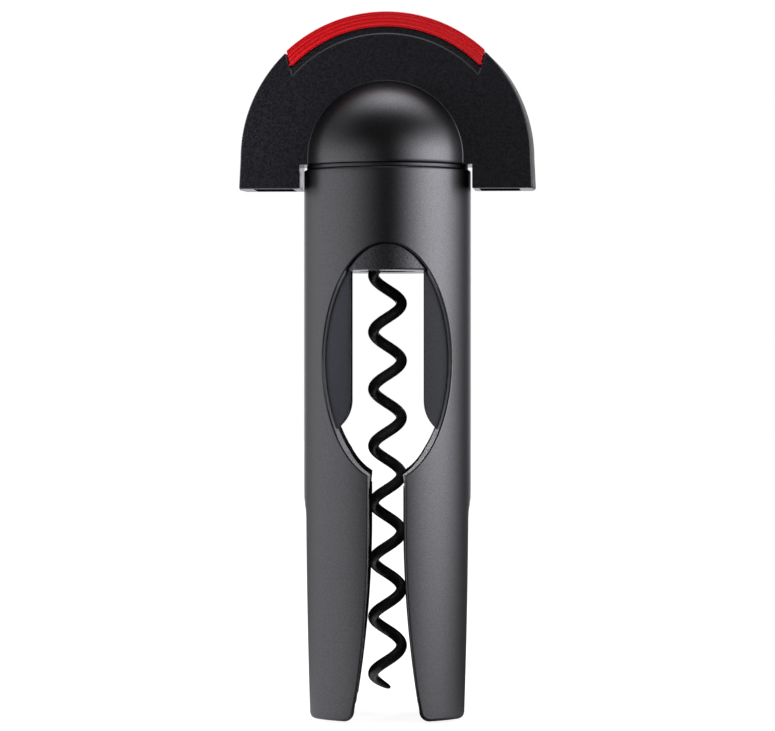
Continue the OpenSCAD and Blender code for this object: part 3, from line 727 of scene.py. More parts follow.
def make_legs(tube):
    half, half_ends = leg_half(tube)
    for side, name in ((1, "right"), (-1, "left")):
        grids = [g * [side, 1, 1] for g in half]
        ends = [e * [side, 1, 1] for e in half_ends]
        # The cut walls take the light grey finish, which is partly painted light.
        leg = put(f"{name}_leg_skin", grids + [mirrored_y(g) for g in grids], finish("shell"), None,
                  [f"{name}_leg"], "satin_shell", loops=ends + [mirrored_y(e) for e in ends],
                  more=[(finish("wall"), cut_walls)])
        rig.blend(leg, "frame", f"{name}_leg", (0, 0, LEG_TOP / 1000), (0, 0, 0.05))


def make_pads(liner):
    """Rubber pads inside the legs: a ring sector's outline carried up, with a quarter round at both ends."""
    r = liner.pad_edge * 1000
    low, high, outside, inside = 3.7, 54.5, 16.35, 15.4
    turn_in = r * (1 - np.cos(np.linspace(0, 90, 5) * DEG))
    z = np.concatenate([low + turn_in, np.linspace(low + r, high - r, 60)[1:-1], (high - turn_in)[::-1]])
    draw = quarter_round(r, np.minimum(z - low, high - z))[:, None]
    down = np.clip((FLARE_TOP - z) / (FLARE_TOP - FOOT_CORNER), 0, 1)
    x = SLOT_X - 0.05 + 0.15 * down + (FOOT_X - SLOT_X) * down ** 2
    # Outline: outer arc from front to back, rounded end, inner arc from back to front, rounded end
    along = np.linspace(0, 1, 40)
    across = np.linspace(0, 1, 8)[1:-1]
    share = np.concatenate([along, np.ones(6), along[::-1], np.zeros(6)])
    radius = np.concatenate([np.full(40, outside), outside + (inside - outside) * across,
                             np.full(40, inside), inside + (outside - inside) * across])
    middle = (outside + inside) / 2
    end = 0.25 / 16  # angle that the rounded end takes
    bulge = end * np.sin(math.pi * np.concatenate([np.zeros(40), across, np.zeros(40), across]))
    first = np.arcsin((x[:, None] + draw) / 15.9)
    a = first + end + (math.pi - 2 * first - 2 * end) * share + np.where(share == 1, 1, -1) * bulge
    rr = np.where(radius > middle, np.maximum(radius - draw, middle), np.minimum(radius + draw, middle))
    grid = np.stack([rr * np.sin(a), -rr * np.cos(a), np.broadcast_to(z[:, None], a.shape)], -1)
    grid = np.concatenate([grid, grid[:, :1]], 1)
    for side, name in ((1, "right"), (-1, "left")):
        g = grid * [side, 1, 1]
        put(f"{name}_pad_rubber", [g], finish("neck rubber"), f"{name}_leg", [f"{name}_neck_pad"],
            "neck_rubber", loops=[g[0, :-1], g[-1, :-1]], turn=PAD_TURN)


def raised_face(liner, inner, z, low, high, lean):
    """Face that stands out over the sleeve between two lines, with rounded edges and walls down to it.

    low and high are x at each height z. The wall along low leans in to its foot, as the window's wall does.
    """
    r = 0.25
    u = np.concatenate([[0, 0.004, 0.012, 0.025, 0.045], np.linspace(0.07, 0.93, 36),
                        [0.955, 0.975, 0.988, 0.996, 1]])
    x = low[:, None] + (high - low)[:, None] * u
    off = np.minimum((x - low[:, None]) / np.hypot(1, np.gradient(low, z))[:, None],
                     (high[:, None] - x) / np.hypot(1, np.gradient(high, z))[:, None])
    off = np.minimum(off, np.minimum(z - z[0], z[-1] - z)[:, None])
    radius = inner + liner.rise * 1000 - quarter_round(r, off)
    face = np.stack([x, -np.sqrt(radius ** 2 - x ** 2), np.broadcast_to(z[:, None], x.shape)], -1)
    foot = np.minimum(low + lean, high)
    x = foot[:, None] + (high - 0.05 * np.sign(high - foot) - foot)[:, None] * u
    back = np.stack([x, -np.sqrt((inner - 0.5) ** 2 - x ** 2), face[..., 2]], -1)
    edges = [np.concatenate([g[0], g[1:, -1], g[-1, -2::-1], g[-2:0:-1, 0]]) for g in (face, back)]
    walls = between(edges[0], edges[1], np.linspace(0, 1, 4))
    return [face, np.concatenate([walls, walls[:, :1]], 1)], edges[1]


def window_faces(liner, corner_x, corner_z, corner_r):
    """Three faces in the front window: one over the floor and one on each cheek."""
    top_gap, cheek_gap = 0.08, 0.5

    def half(z, gap):
        return (WINDOW[0] - gap) * np.sqrt(np.maximum(0, 1 - ((z - WINDOW[2]) / (WINDOW[1] - gap)) ** 2))

    v = np.concatenate([[0, 0.003, 0.008, 0.016, 0.033, 0.05], np.linspace(0.08, 0.9, 16),
                        [0.94, 0.965, 0.985, 0.995, 1]])
    z = SLEEVE_FLOOR + v * (WINDOW[2] + WINDOW[1] - top_gap - SLEEVE_FLOOR)
    grids, back = raised_face(liner, SLEEVE_R, z, -half(z, top_gap), half(z, top_gap), 0)

    def cheek(z):
        return corner_x + np.sqrt(np.maximum(0, corner_r ** 2 - np.minimum(0, z - corner_z) ** 2))

    z = np.linspace(corner_z - corner_r, corner_z, 2000)
    tip = z[np.argmax(cheek(z) > -half(z, cheek_gap))]
    v = np.concatenate([[0, 0.0005, 0.0015, 0.003, 0.006], np.linspace(0.01, 0.25, 24),
                        np.linspace(0.27, 0.985, 26), [0.99, 0.994, 0.997, 0.999, 1]])
    z = tip + v * (SLEEVE_FLOOR - 0.12 - tip)
    side, side_back = raised_face(liner, SLEEVE_R, z, -half(z, cheek_gap), cheek(z) - 0.02, 0.4)
    mirror = [-1, 1, 1]
    return grids + side + [g * mirror for g in side], [back, side_back, side_back * mirror]


# The sleeve with its cheeks


def make_sleeve(liner):
    """Liner in the tube: a cup over a floor, with two cheeks; its openings' edges are rounded."""
    big, small, gap, corner_r = SLEEVE_R, 13.65, 8.5, 8.5
    floor, cup_in, top = SLEEVE_FLOOR, 15.75, 127.3
    cx, cz = -(gap + corner_r), 73.9
    r, r_in, bend = liner.edge * 1000, 0.2, 0.2

    def arc(radius, ball, count):
        rad = radius + ball if radius == small else radius - ball
        a_end = math.asin((gap + ball) / rad)
        th = np.linspace(math.pi / 2, a_end, count)
        x = -rad * np.sin(th)
        cos = np.clip((x - cx) / (corner_r - ball), -1, 1)
        m = np.stack([cos, -np.sqrt(1 - cos ** 2)], -1)
        z = cz + (corner_r - ball) * m[:, 1]
        return np.stack([x, -rad * np.cos(th), z], -1), m

    n1 = 30
    o1, mo1 = arc(big, r, n1)
    i1, mi1 = arc(small, r_in, n1)
    z2 = np.linspace(cz, floor - bend, 20)[1:]
    e2 = np.stack([np.full(19, -gap), z2], -1)
    m2 = np.tile([[1.0, 0.0]], (19, 1))
    a3 = np.linspace(0, 90, 7)[1:] * DEG
    m3 = np.stack([np.cos(a3), -np.sin(a3)], -1)
    e3 = np.array([[-gap + bend, floor - bend]]) - bend * m3
    x4 = np.linspace(-gap + bend, 0, 14)[1:]
    e4 = np.stack([x4, np.full(13, floor)], -1)
    m4 = np.tile([[0.0, -1.0]], (13, 1))
    e = np.concatenate([e2, e3, e4])
    m = np.concatenate([m2, m3, m4])
    full_in = np.concatenate([np.full(19, r_in), np.linspace(r_in, 0.01, 7)[1:], np.full(13, 0.01)])
    c_out = np.concatenate([o1, prism_centres(e, m, np.full(len(e), r), big, False)])
    c_in = np.concatenate([i1, prism_centres(e, m, full_in, small, True)])
    m_out = np.concatenate([mo1, m])
    m_in = np.concatenate([mi1, m])
    half = len(c_out)

    def whole(a, sign):
        return np.concatenate([a, (a[:-1] * sign)[::-1]])

    c_out, c_in = whole(c_out, [-1, 1, 1]), whole(c_in, [-1, 1, 1])
    m_out, m_in = whole(direction(m_out), [-1, 1, 1]), whole(direction(m_in), [-1, 1, 1])
    n = len(c_out)
    radius_in = np.concatenate([np.full(n1, r_in), full_in])
    radius_in = np.concatenate([radius_in, radius_in[:-1][::-1]])
    rows = wall_rows(c_out, m_out, np.full(n, r), c_in, m_in, radius_in, big, small)
    # Outside skin up to the cup's top
    k = n1 + 19 + 2
    flat = unroll(rows[:, 0], big)
    border = skin_border(math.pi / 2 * big, flat[0, 1], top, k, n)
    outer = roll(between(flat, border, np.linspace(0, 1, 16) ** 1.4), big)
    # Inside skin of one cheek's front half, up to the floor
    stop = n1 + 19 + 6
    flat_in = unroll(rows[:stop, -1], small)
    side_in = math.pi / 2 * small
    rise = np.linspace(0, 1, stop)[:, None]
    b_in = np.array([[-side_in, flat_in[0, 1]]]) * (1 - rise) + np.array([[-side_in, floor]]) * rise
    inner = roll(between(flat_in, b_in, np.linspace(0, 1, 10)), small)
    inner[-1, :, 2] = floor
    # Underside of the floor, from the cut to the guide's bore
    lip = np.concatenate([inner[-1, ::-1], rows[stop:half, -1]])
    lip = np.concatenate([lip, (lip[:-1] * [-1, 1, 1])[::-1]])
    angle = np.arctan2(lip[:, 0], -lip[:, 1])
    bore = 6.65
    ring_in = np.stack([bore * np.sin(angle), -bore * np.cos(angle), np.full(len(angle), floor)], -1)
    under = between(lip, ring_in, np.linspace(0, 1, 6))
    # Cup above the floor
    prof = np.array([[big, top], [cup_in + 0.3, top], [cup_in, top - 0.3], [cup_in, floor + 1.9],
                     [cup_in - 0.3, floor + 1.6], [bore, floor + 1.6], [bore, floor]])
    cup = lathe(prof, border[k:n - k, 0] / big)
    raised, backs = window_faces(liner, cx, cz, corner_r)
    grids = [rows, outer, inner, inner * [-1, 1, 1], under, cup] + raised
    more = [(finish("segment"), lambda p, n: (np.hypot(p[:, 0], p[:, 1]) > big + 0.1) & (
                p[:, 2] > floor - 0.01)),
            (finish("liner polished"), lambda p, n: (n[:, 2] < -0.7) & (p[:, 2] > floor - 0.3))]
    put("sleeve_liner", grids + [turned(g) for g in grids], finish("liner"), "frame",
        ["inner_sleeve"], "liner", loops=backs + [turned(b) for b in backs], sharp=40, more=more)


# Handle


def make_slip_ring(liner):
    """Slip ring: a square section with quarter rounds at its corners, turned round the axis."""
    r = liner.ring_edge * 1000
    a = np.linspace(0, math.pi / 2, 5)
    prof = []
    for x, z, start in ((18.95, 127.95, -90), (18.95, 128.95, 0), (15.55, 128.95, 90), (15.55, 127.95, 180)):
        middle = [x - math.copysign(r, x - 17), z - math.copysign(r, z - 128.4)]
        prof.append(middle + r * np.stack([np.cos(start * DEG + a), np.sin(start * DEG + a)], -1))
    prof = np.concatenate(prof + [prof[0][:1]])
    put("slip_ring_band", [lathe(prof, np.linspace(0, 2 * math.pi, 161))], finish("ring"), "slip_ring",
        ["slip_ring"], "slip_plastic")


RECESS_R = 28.96
SEAT_R = 30.55
END_AT = (21.9, 19.0)  # point of the line where the grip's seat ends, from the half disc's centre


def end_angle(r, lean):
    """Angle from the top at which a circle of radius r meets the straight line where the grip's seat ends.

    The line runs through END_AT and leans out by lean for each millimetre of height.
    """
    r = np.maximum(r, RECESS_R)
    b = END_AT[0] - lean * END_AT[1]
    q = 1 + lean ** 2
    high = (-lean * b + np.sqrt((lean * b) ** 2 - q * (b * b - r * r))) / q
    return np.arctan2(b + lean * high, high)


def face_profile(handle, seat):
    """Section from the dome's foot over the face and the rim to the parting line, as (radius, y).

    The grip's seat has a bevelled step down to its recess, a deeper step under the grip, and no draft.
    """
    a = np.linspace(0, math.pi / 2, 7)
    edge_r = handle.rim_edge * 1000
    depth = handle.recess * 1000
    deep = 1.05
    radius = np.array([17.0, ARM_X, 24.0, 28.78, 28.84, 28.9, 29.05, 29.2, 29.28, 30.3, SEAT_R,
                       SEAT_R + 0.01, HANDLE_R - 2.0, HANDLE_R - 1.6])
    sink = np.array([0, 0, 0, 0, 0.02, 0.1, 0.33, 0.56, 0.63, 1.0, 1.05, 0, 0, 0]) * depth * seat
    sink[11:] = deep * seat
    radius[-1] += 0.6 * (not seat)
    edge = HANDLE_R - deep * seat
    arc = np.stack([edge - edge_r + edge_r * np.sin(a),
                    deep * seat + edge_r - edge_r * np.cos(a) - HANDLE_Y], -1)
    split = 0.0 if seat else 0.15
    rim = np.array([[edge, -4.0], [edge, -2.0], [edge, -0.22], [edge - split, -0.06], [edge - split, 0]])
    return np.concatenate([np.stack([radius, sink - HANDLE_Y], -1), arc, rim])


def drafted(prof, share, handle):
    """The rim's radius grows from the face to the parting line, by a share of the draft."""
    out = prof.copy()
    grow = -0.08 + handle.draft * 1000 * (1 + out[..., 1] / HANDLE_Y)
    out[..., 0] += share * grow * np.clip(out[..., 0] - HANDLE_R + 1, 0, 1)
    return out


def flared(points, handle):
    """Below the half disc, the arms' outsides lean out evenly, by the flare at their ends."""
    out = points.copy()
    low = np.clip((DOME_Z - out[..., 2]) / (DOME_Z - ARM_FOOT), 0, 1)
    outer = np.clip((np.abs(out[..., 0]) - 31.5) / 2, 0, 1)
    out[..., 0] += np.sign(out[..., 0]) * handle.flare * 1000 * low * outer
    return out


def half_shell(handle):
    """Front half of the handle: its section carried round the half disc, and the outline of its arms.

    Columns run from the grip's seat over its sloping end wall to the plain handle at the side.
    """
    plain, seat = face_profile(handle, 0), face_profile(handle, 1)
    end_seat, end_plain = end_angle(seat[:, 0], handle.end_lean), end_angle(plain[:, 0], handle.end_lean)
    wall = 0.5 / plain[:, 0]
    cols = [u * (end_seat - wall) for u in np.linspace(0, 1, 50)]
    prof = [seat] * 50
    for t, sink in ((0.12, 0.93), (0.35, 0.68), (0.75, 0.24), (0.9, 0.09), (1.0, 0.03), (1.15, 0.0)):
        cols.append(end_plain - wall * (1 - t))
        prof.append(plain * (1 - sink) + seat * sink)
    start = cols[-1]
    for t in np.linspace(0, 1, 44)[1:]:
        cols.append(start * (1 - t) + math.pi / 2 * t)
        prof.append(plain)
    angle, prof = np.stack(cols), np.stack(prof)
    prof = drafted(prof, smoothstep(np.clip((angle / DEG - 38) / 20, 0, 1)), handle)
    angle = np.concatenate([-angle[::-1], angle[1:]])
    prof = np.concatenate([prof[::-1], prof[1:]])
    disc = np.stack([prof[..., 0] * np.sin(angle), prof[..., 1], DOME_Z + prof[..., 0] * np.cos(angle)], -1)
    r = 0.45
    b = np.linspace(0, math.pi / 2, 6)
    corner = np.stack([ARM_X + r - r * np.sin(b), -HANDLE_Y + r - r * np.cos(b)], -1)[::-1]
    wall_line = np.array([[ARM_X, 0.0], [ARM_X, -2.0], [ARM_X, -4.5]])
    return disc, np.concatenate([wall_line, corner, drafted(plain, 1.0, handle)[2:]])


def stacked(line, heights):
    """A level outline repeated at several heights."""
    flat = np.broadcast_to(line[None, :, :2], (len(heights), len(line), 2))
    return np.concatenate([flat, np.broadcast_to(heights[:, None, None], (len(heights), len(line), 1))], -1)


def make_handle_shells(handle):
    """Both shells: half disc, two arms with rounded feet, and the hollow that opens under each arm."""
    disc, loop = half_shell(handle)
    arm = stacked(loop, np.linspace(SEAT, ARM_FOOT + 0.3, 8))
    # Foot of the arm: rounded edge, level rim, then the hollow
    inner_x, outer_x, deep, ceiling_z = ARM_X + 1.6, HANDLE_R - 2.8, -5.9, 133.0
    feet = []
    for t in np.linspace(0, math.pi / 2, 5)[1:]:
        by = 0.3 * (1 - math.cos(t))
        x = np.where(loop[:, 0] < 24, np.maximum(loop[:, 0], ARM_X + by), loop[:, 0] - by * (loop[:, 0] > 33))
        y = np.maximum(loop[:, 1], -HANDLE_Y + by)
        feet.append(np.stack([x, y, np.full(len(x), ARM_FOOT + 0.3 - 0.3 * math.sin(t))], -1))
    hollow = np.stack([np.clip(loop[:, 0], inner_x, outer_x), np.maximum(loop[:, 1], deep)], -1)
    foot = np.concatenate([arm[-1:], np.stack(feet),
                           stacked(hollow, np.array([ARM_FOOT, ARM_FOOT + 3, ceiling_z]))])
    ceiling = foot[-1]
    # Strip between the half disc and the arms
    right = stacked(disc[-1, 1:], np.linspace(DOME_Z, SEAT, 4))
    across = np.linspace(-ARM_X, ARM_X, 41)
    middle = np.stack([np.broadcast_to(across[:, None], (41, 4)), np.full((41, 4), -HANDLE_Y),
                       np.broadcast_to(np.linspace(DOME_Z, SEAT, 4)[None], (41, 4))], -1)
    under = np.stack([np.broadcast_to(across[:, None], (41, 4)),
                      np.broadcast_to(np.array([-HANDLE_Y, -4.5, -2.0, 0.0])[None], (41, 4)),
                      np.full((41, 4), SEAT)], -1)
    flip = np.array([-1, 1, 1])
    grids = [disc, arm, arm * flip, foot, foot * flip, right, right * flip, middle, under]
    edge = disc[-1, -1, 0]
    core = np.concatenate([disc[:, 0], [[17.0, -HANDLE_Y, DOME_Z]]])
    part = np.concatenate([
        disc[:, -1], [[edge, 0, SEAT], [outer_x, 0, SEAT], [outer_x, 0, ceiling_z],
                      [inner_x, 0, ceiling_z], [inner_x, 0, SEAT], [ARM_X, 0, SEAT], [-ARM_X, 0, SEAT],
                      [-inner_x, 0, SEAT], [-inner_x, 0, ceiling_z], [-outer_x, 0, ceiling_z],
                      [-outer_x, 0, SEAT], [-edge, 0, SEAT]]])
    cut = []
    for f in (np.array([1, 1, 1]), flip):
        cut.append(np.array([[outer_x, 0, SEAT], [edge, 0, SEAT], [edge, 0, ARM_FOOT + 0.3],
                             [edge - 0.3, 0, ARM_FOOT], [outer_x, 0, ARM_FOOT]]) * f)
        cut.append(np.array([[ARM_X, 0, SEAT], [inner_x, 0, SEAT], [inner_x, 0, ARM_FOOT],
                             [ARM_X + 0.3, 0, ARM_FOOT], [ARM_X, 0, ARM_FOOT + 0.3]]) * f)
    grids = [flared(g, handle) for g in grids]
    loops = [flared(c, handle) for c in [core, part, ceiling, ceiling * flip] + cut]
    # Faces that don't face front or back take the lighter black as a painted highlight; the rim then takes the plain
    # black, stoned.
    polished = [(finish("black polished"), lambda p, n: np.abs(n[:, 1]) < 0.85),
                (finish("black rim"), lambda p, n: (np.abs(n[:, 1]) < 0.5) & (
                    np.hypot(p[:, 0], np.maximum(p[:, 2] - DOME_Z, 0)) > HANDLE_R - 0.3))]
    put("handle_front", grids, finish("black"), "handle", ["handle_front_shell"], "grained_black",
        loops=loops, turn=HANDLE_TURN, more=polished)
    put("handle_rear", [turned(g) for g in grids], finish("black"), "handle", ["handle_rear_shell"],
        "grained_black", loops=[turned(c) for c in loops], turn=HANDLE_TURN, more=polished)


def make_domes(tube):
    """Half balls on the handle's faces, over a short straight skirt.

    The section is the ball's circle, then a hollow quarter that touches both the ball and the handle's face.
    """
    cove = tube.dome_cove * 1000
    at = math.sqrt((TUBE_R + cove) ** 2 - (HANDLE_Y + cove) ** 2)
    touch = math.atan2(at, HANDLE_Y + cove)
    b = np.linspace(0, touch, 46)
    ball = np.stack([TUBE_R * np.sin(b), -TUBE_R * np.cos(b)], -1)
    c = np.linspace(touch, 0, 7)[1:]
    hollow = np.stack([at - cove * np.sin(c), cove * np.cos(c) - HANDLE_Y - cove - 0.004], -1)
    edge = np.array([[at + 0.02, -HANDLE_Y], [at - 0.4, -HANDLE_Y], [at - 0.4, -HANDLE_Y + 0.3]])
    prof = np.concatenate([ball, hollow, edge])
    psi = np.linspace(-90, 90, 97) * DEG
    cap = np.stack([prof[None, :, 0] * np.sin(psi)[:, None],
                    np.broadcast_to(prof[None, :, 1], (len(psi), len(prof))),
                    DOME_Z + prof[None, :, 0] * np.cos(psi)[:, None]], -1)
    # Skirt: the same section, straight down, drawn in at the bottom
    flat = np.concatenate([cap[0][::-1], cap[-1][1:]])
    far = np.hypot(flat[:, 0], flat[:, 1])[:, None]
    rows = []
    for z, by in ((DOME_Z, 0.0), (SEAT + 0.8, 0.0), (SEAT + 0.25, 0.0), (SEAT + 0.1, 0.06),
                  (SEAT + 0.02, 0.16), (SEAT, 0.25)):
        ring = flat.copy()
        ring[:, :2] *= (far - by) / far
        ring[:, 2] = z
        rows.append(ring)
    skirt = np.stack(rows)
    back = np.concatenate([cap[:, -1], skirt[1:, -1], skirt[1:, 0][::-1]])
    put("dome_front", [cap, skirt], finish("shell"), "handle", ["front_dome"], "satin_shell",
        loops=[skirt[-1], back], turn=HANDLE_TURN, sharp=50)
    put("dome_rear", [turned(cap), turned(skirt)], finish("shell"), "handle", ["rear_dome"], "satin_shell",
        loops=[turned(skirt[-1]), turned(back)], turn=HANDLE_TURN, sharp=50)


def make_grip(handle):
    """Soft grip: a U section with rounded ridges, carried round the handle's rim, with rounded ends.

    A groove's depth is a raised cosine of the distance from its middle, to the power 0.6.
    """
    r_in, r_top, y = 30.68, GRIP_R, HANDLE_Y
    pitch, depth = handle.ridge_pitch * 1000, handle.ridge_depth * 1000

    def groove(t):
        return depth * (0.5 + 0.5 * np.cos(2 * math.pi * t / pitch)) ** 0.6

    rs = np.linspace(r_in + 0.25, r_top - 0.35, 34)
    face = np.stack([rs, -y + groove(rs - 31.55)], -1)
    c = np.linspace(0, math.pi / 2, 6)
    corner = np.stack([r_top - 0.35 + 0.35 * np.sin(c), -y + 0.35 - 0.35 * np.cos(c)], -1)
    ys = np.linspace(-y + 0.35, 0, 84)
    top = np.stack([r_top - groove(ys) * np.clip((ys + y) / 0.6 - 0.4, 0, 1), ys], -1)
    toe = np.array([[r_in, -y + 1.0], [r_in, -y + 0.25], [r_in + 0.07, -y + 0.07]])
    half = np.concatenate([toe, face, corner[1:], top[1:]])
    other = (half * [1, -1])[::-1][1:]
    inside = np.array([[r_top - 1.0, y - 1.0], [r_top - 1.0, -y + 1.0]])
    prof = np.concatenate([half, other, inside, half[:1]])
    # Columns close up towards the ends, which follow the seat's straight end lines with a small gap
    round_out, round_in = 0.3, 0.75
    near = np.concatenate([round_out * (1 - np.cos(np.linspace(0, 90, 7) * DEG)),
                           [0.45, 0.6, 0.75, 1.0, 1.4]])
    last = end_angle(prof[:, 0], handle.end_lean) - 0.56 / prof[:, 0]
    middle = np.linspace(-1, 1, 110)[1:-1, None] * (last - near[-1] / prof[:, 0])[None]
    left = -(last[None] - near[:, None] / prof[None, :, 0])
    a = np.concatenate([left, middle, -left[::-1]])
    off = np.concatenate([near, np.full(len(middle), 9.0), near[::-1]])[:, None]
    draw, rise = quarter_round(round_out, off), quarter_round(round_in, off)
    rr = np.clip(np.broadcast_to(prof[None, :, 0], a.shape), r_in + rise, r_top - draw)
    yy = np.clip(np.broadcast_to(prof[None, :, 1], a.shape), draw - y, y - draw)
    grid = np.stack([rr * np.sin(a), yy, DOME_Z + rr * np.cos(a)], -1)
    put("grip_soft", [grid], finish("grip"), "handle", ["grip_inlay"], "soft_grip",
        loops=[grid[0, :-1], grid[-1, :-1]], turn=HANDLE_TURN, sharp=50)


# Worm


def make_worm():
    """One wire: rounded point, right-handed coil, shank on the axis and a bent end in the hub."""
    tip, pitch, big, wire = 6.1, 13.39, 4.6, 1.3
    shank, bar, bend = 126.4, 141.05, 2.5
    coil_top = shank - pitch / 2
    turn = HANDLE_TURN * DEG

    def angle(z):
        return (86 + 360 * (z - tip) / pitch) * DEG

    zc = tip + (coil_top - tip) * np.linspace(0, 1, 620)
    t = np.minimum(1, (zc - tip) / (0.32 * pitch))
    rad = 0.45 + (wire - 0.45) * np.sqrt(t)
    off = big - rad
    z2 = np.linspace(coil_top, shank, 60)[1:]
    s = np.linspace(0, 1, 60)[1:]
    off = np.concatenate([off, (big - wire) * (1 - smoothstep(s))])
    rad = np.concatenate([rad, np.full(59, wire)])
    z = np.concatenate([zc, z2])
    a = angle(z)
    last = turn + math.pi / 2 + 2 * math.pi * round((a[-1] - turn - math.pi / 2) / (2 * math.pi))
    z3 = np.linspace(shank, bar - bend, 14)[1:]
    centre = np.concatenate([
        np.stack([off * np.cos(a), off * np.sin(a), z], -1),
        np.stack([np.zeros(13), np.zeros(13), z3], -1)])
    b = np.linspace(0, 90, 13)[1:] * DEG
    far = np.concatenate([bend - bend * np.cos(b), np.linspace(bend, 6.0, 6)[1:]])
    rise = np.concatenate([bar - bend + bend * np.sin(b), np.full(5, bar)])
    centre = np.concatenate([centre, np.stack([far * math.cos(turn), far * math.sin(turn), rise], -1)])
    a = np.concatenate([a, a[-1] + (last - a[-1]) * np.linspace(0, 1, 14)[1:], np.full(17, last)])
    rad = np.concatenate([rad, np.full(30, wire)])
    along = np.gradient(centre, axis=0)
    along /= np.linalg.norm(along, axis=1)[:, None]
    out = np.stack([np.cos(a), np.sin(a), np.zeros(len(a))], -1)
    out -= (out * along).sum(1)[:, None] * along
    out /= np.linalg.norm(out, axis=1)[:, None]
    side = np.cross(along, out)
    # The point and the far end are closed by half balls
    q = np.linspace(0, 90, 8)[1:-1] * DEG
    head = centre[:1] - along[:1] * (rad[0] * np.sin(q[::-1]))[:, None] * 0.9
    tail = centre[-1:] + along[-1:] * (0.5 * np.sin(q))[:, None]
    head_r = rad[0] * np.cos(q[::-1])
    tail_r = wire - 0.5 + 0.5 * np.cos(q)
    centre = np.concatenate([head, centre, tail])
    rad = np.concatenate([head_r, rad, tail_r])
    out = np.concatenate([np.repeat(out[:1], 6, 0), out, np.repeat(out[-1:], 6, 0)])
    side = np.concatenate([np.repeat(side[:1], 6, 0), side, np.repeat(side[-1:], 6, 0)])
    w = np.linspace(0, 2 * math.pi, 25)[None, :, None]
    grid = centre[:, None] + rad[:, None, None] * (np.cos(w) * out[:, None] + np.sin(w) * side[:, None])
    put("worm_wire", [grid], finish("worm"), "handle", ["worm"], "coated_worm",
        loops=[grid[0, :-1], grid[-1, :-1]], sharp=60)


def dress_hidden():
    """Pieces that keep their CAD shape get a material with the detail of the real one."""
    for node, kind in (("worm_guide", "bush"), ("hub_core", "hub"), ("worm_clamp", "steel"),
                       ("clamp_screws", "steel"), ("shell_screws", "steel")):
        for place in frame["nodes"][node].material_slots:
            place.material = finish(kind)


# Stage


STAGE_Z = 0.085  # height in metres that the lights turn about
CAMERA_Z = 0.0821  # height of the camera in metres
CAMERA_AZIMUTH = 0.6  # degrees from the front, towards +X
CAMERA_LENS = 161.9  # focal length in millimetres, for a film 36 mm wide

# Lamps for matt surfaces: name, azimuth (0 is the front, 90 is +X) and elevation in degrees, distance,
# width and height in metres, and radiance
LAMPS = [("left box", -70, 14, 0.75, 1.2, 1.1, 0.5), ("right box", 60, 14, 0.75, 1.0, 1.1, 0.9),
         ("top box", 0, 70, 0.8, 0.7, 0.5, 0.7), ("front box", 0, 42, 0.8, 0.5, 0.4, 0.8),
         ("high left box", -90, 45, 0.5, 0.3, 0.3, 1.4), ("high right box", 90, 45, 0.5, 0.3, 0.3, 0.6),
         ("near box", -66, 28, 0.115, 0.03, 0.03, 26.0)]


def seeing_rays(tree):
    """Socket that is 1 for rays that see the background: camera, glossy and transmission rays."""
    path = add(tree, "LightPath")
    seen = add(tree, "Math", {0: path.outputs["Is Camera Ray"], 1: path.outputs["Is Glossy Ray"]},
               operation="MAXIMUM")
    seen = add(tree, "Math", {0: seen.outputs[0], 1: path.outputs["Is Transmission Ray"]},
               operation="MAXIMUM")
    return seen.outputs[0]


def white_room():
    """World: white to the camera and in reflections, a plain level for matt surfaces."""
    world = bpy.data.worlds.new("white room")
    bpy.context.scene.world = world
    world.use_nodes = True
    tree = world.node_tree
    tree.nodes.clear()
    seen = seeing_rays(tree)
    dim = add(tree, "Background", {"Color": linear("#ffffff"), "Strength": 0.6})
    white = add(tree, "Background", {"Color": linear("#ffffff"), "Strength": 1.0})
    both = add(tree, "MixShader", {0: seen, 1: dim.outputs[0], 2: white.outputs[0]})
    add(tree, "OutputWorld", {"Surface": both.outputs[0]})


def floor_card(studio):
    """Matt white card, brought up to white for the camera; the object's shadow stays on it."""
    mat, tree, shader, out, place = new_material(
        "matt white floor", **{"Base Color": studio.floor, "Roughness": 0.9})
    seen = seeing_rays(tree)
    glow = add(tree, "Emission", {"Color": linear("#ffffff"), "Strength": 0.88})
    lit = add(tree, "AddShader", {0: shader.outputs[0], 1: glow.outputs[0]})
    mix = add(tree, "MixShader", {0: seen, 1: shader.outputs[0], 2: lit.outputs[0]})
    tree.links.new(mix.outputs[0], out.inputs["Surface"])
    half, drop = 3000.0, 0.6  # a large card, just under the feet
    grid = np.array([[[-1, -1, 0], [1, -1, 0]], [[-1, 1, 0], [1, 1, 0]]]) * half - [0, 0, drop]
    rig.stage(put("floor", [grid], mat, None, None, None))


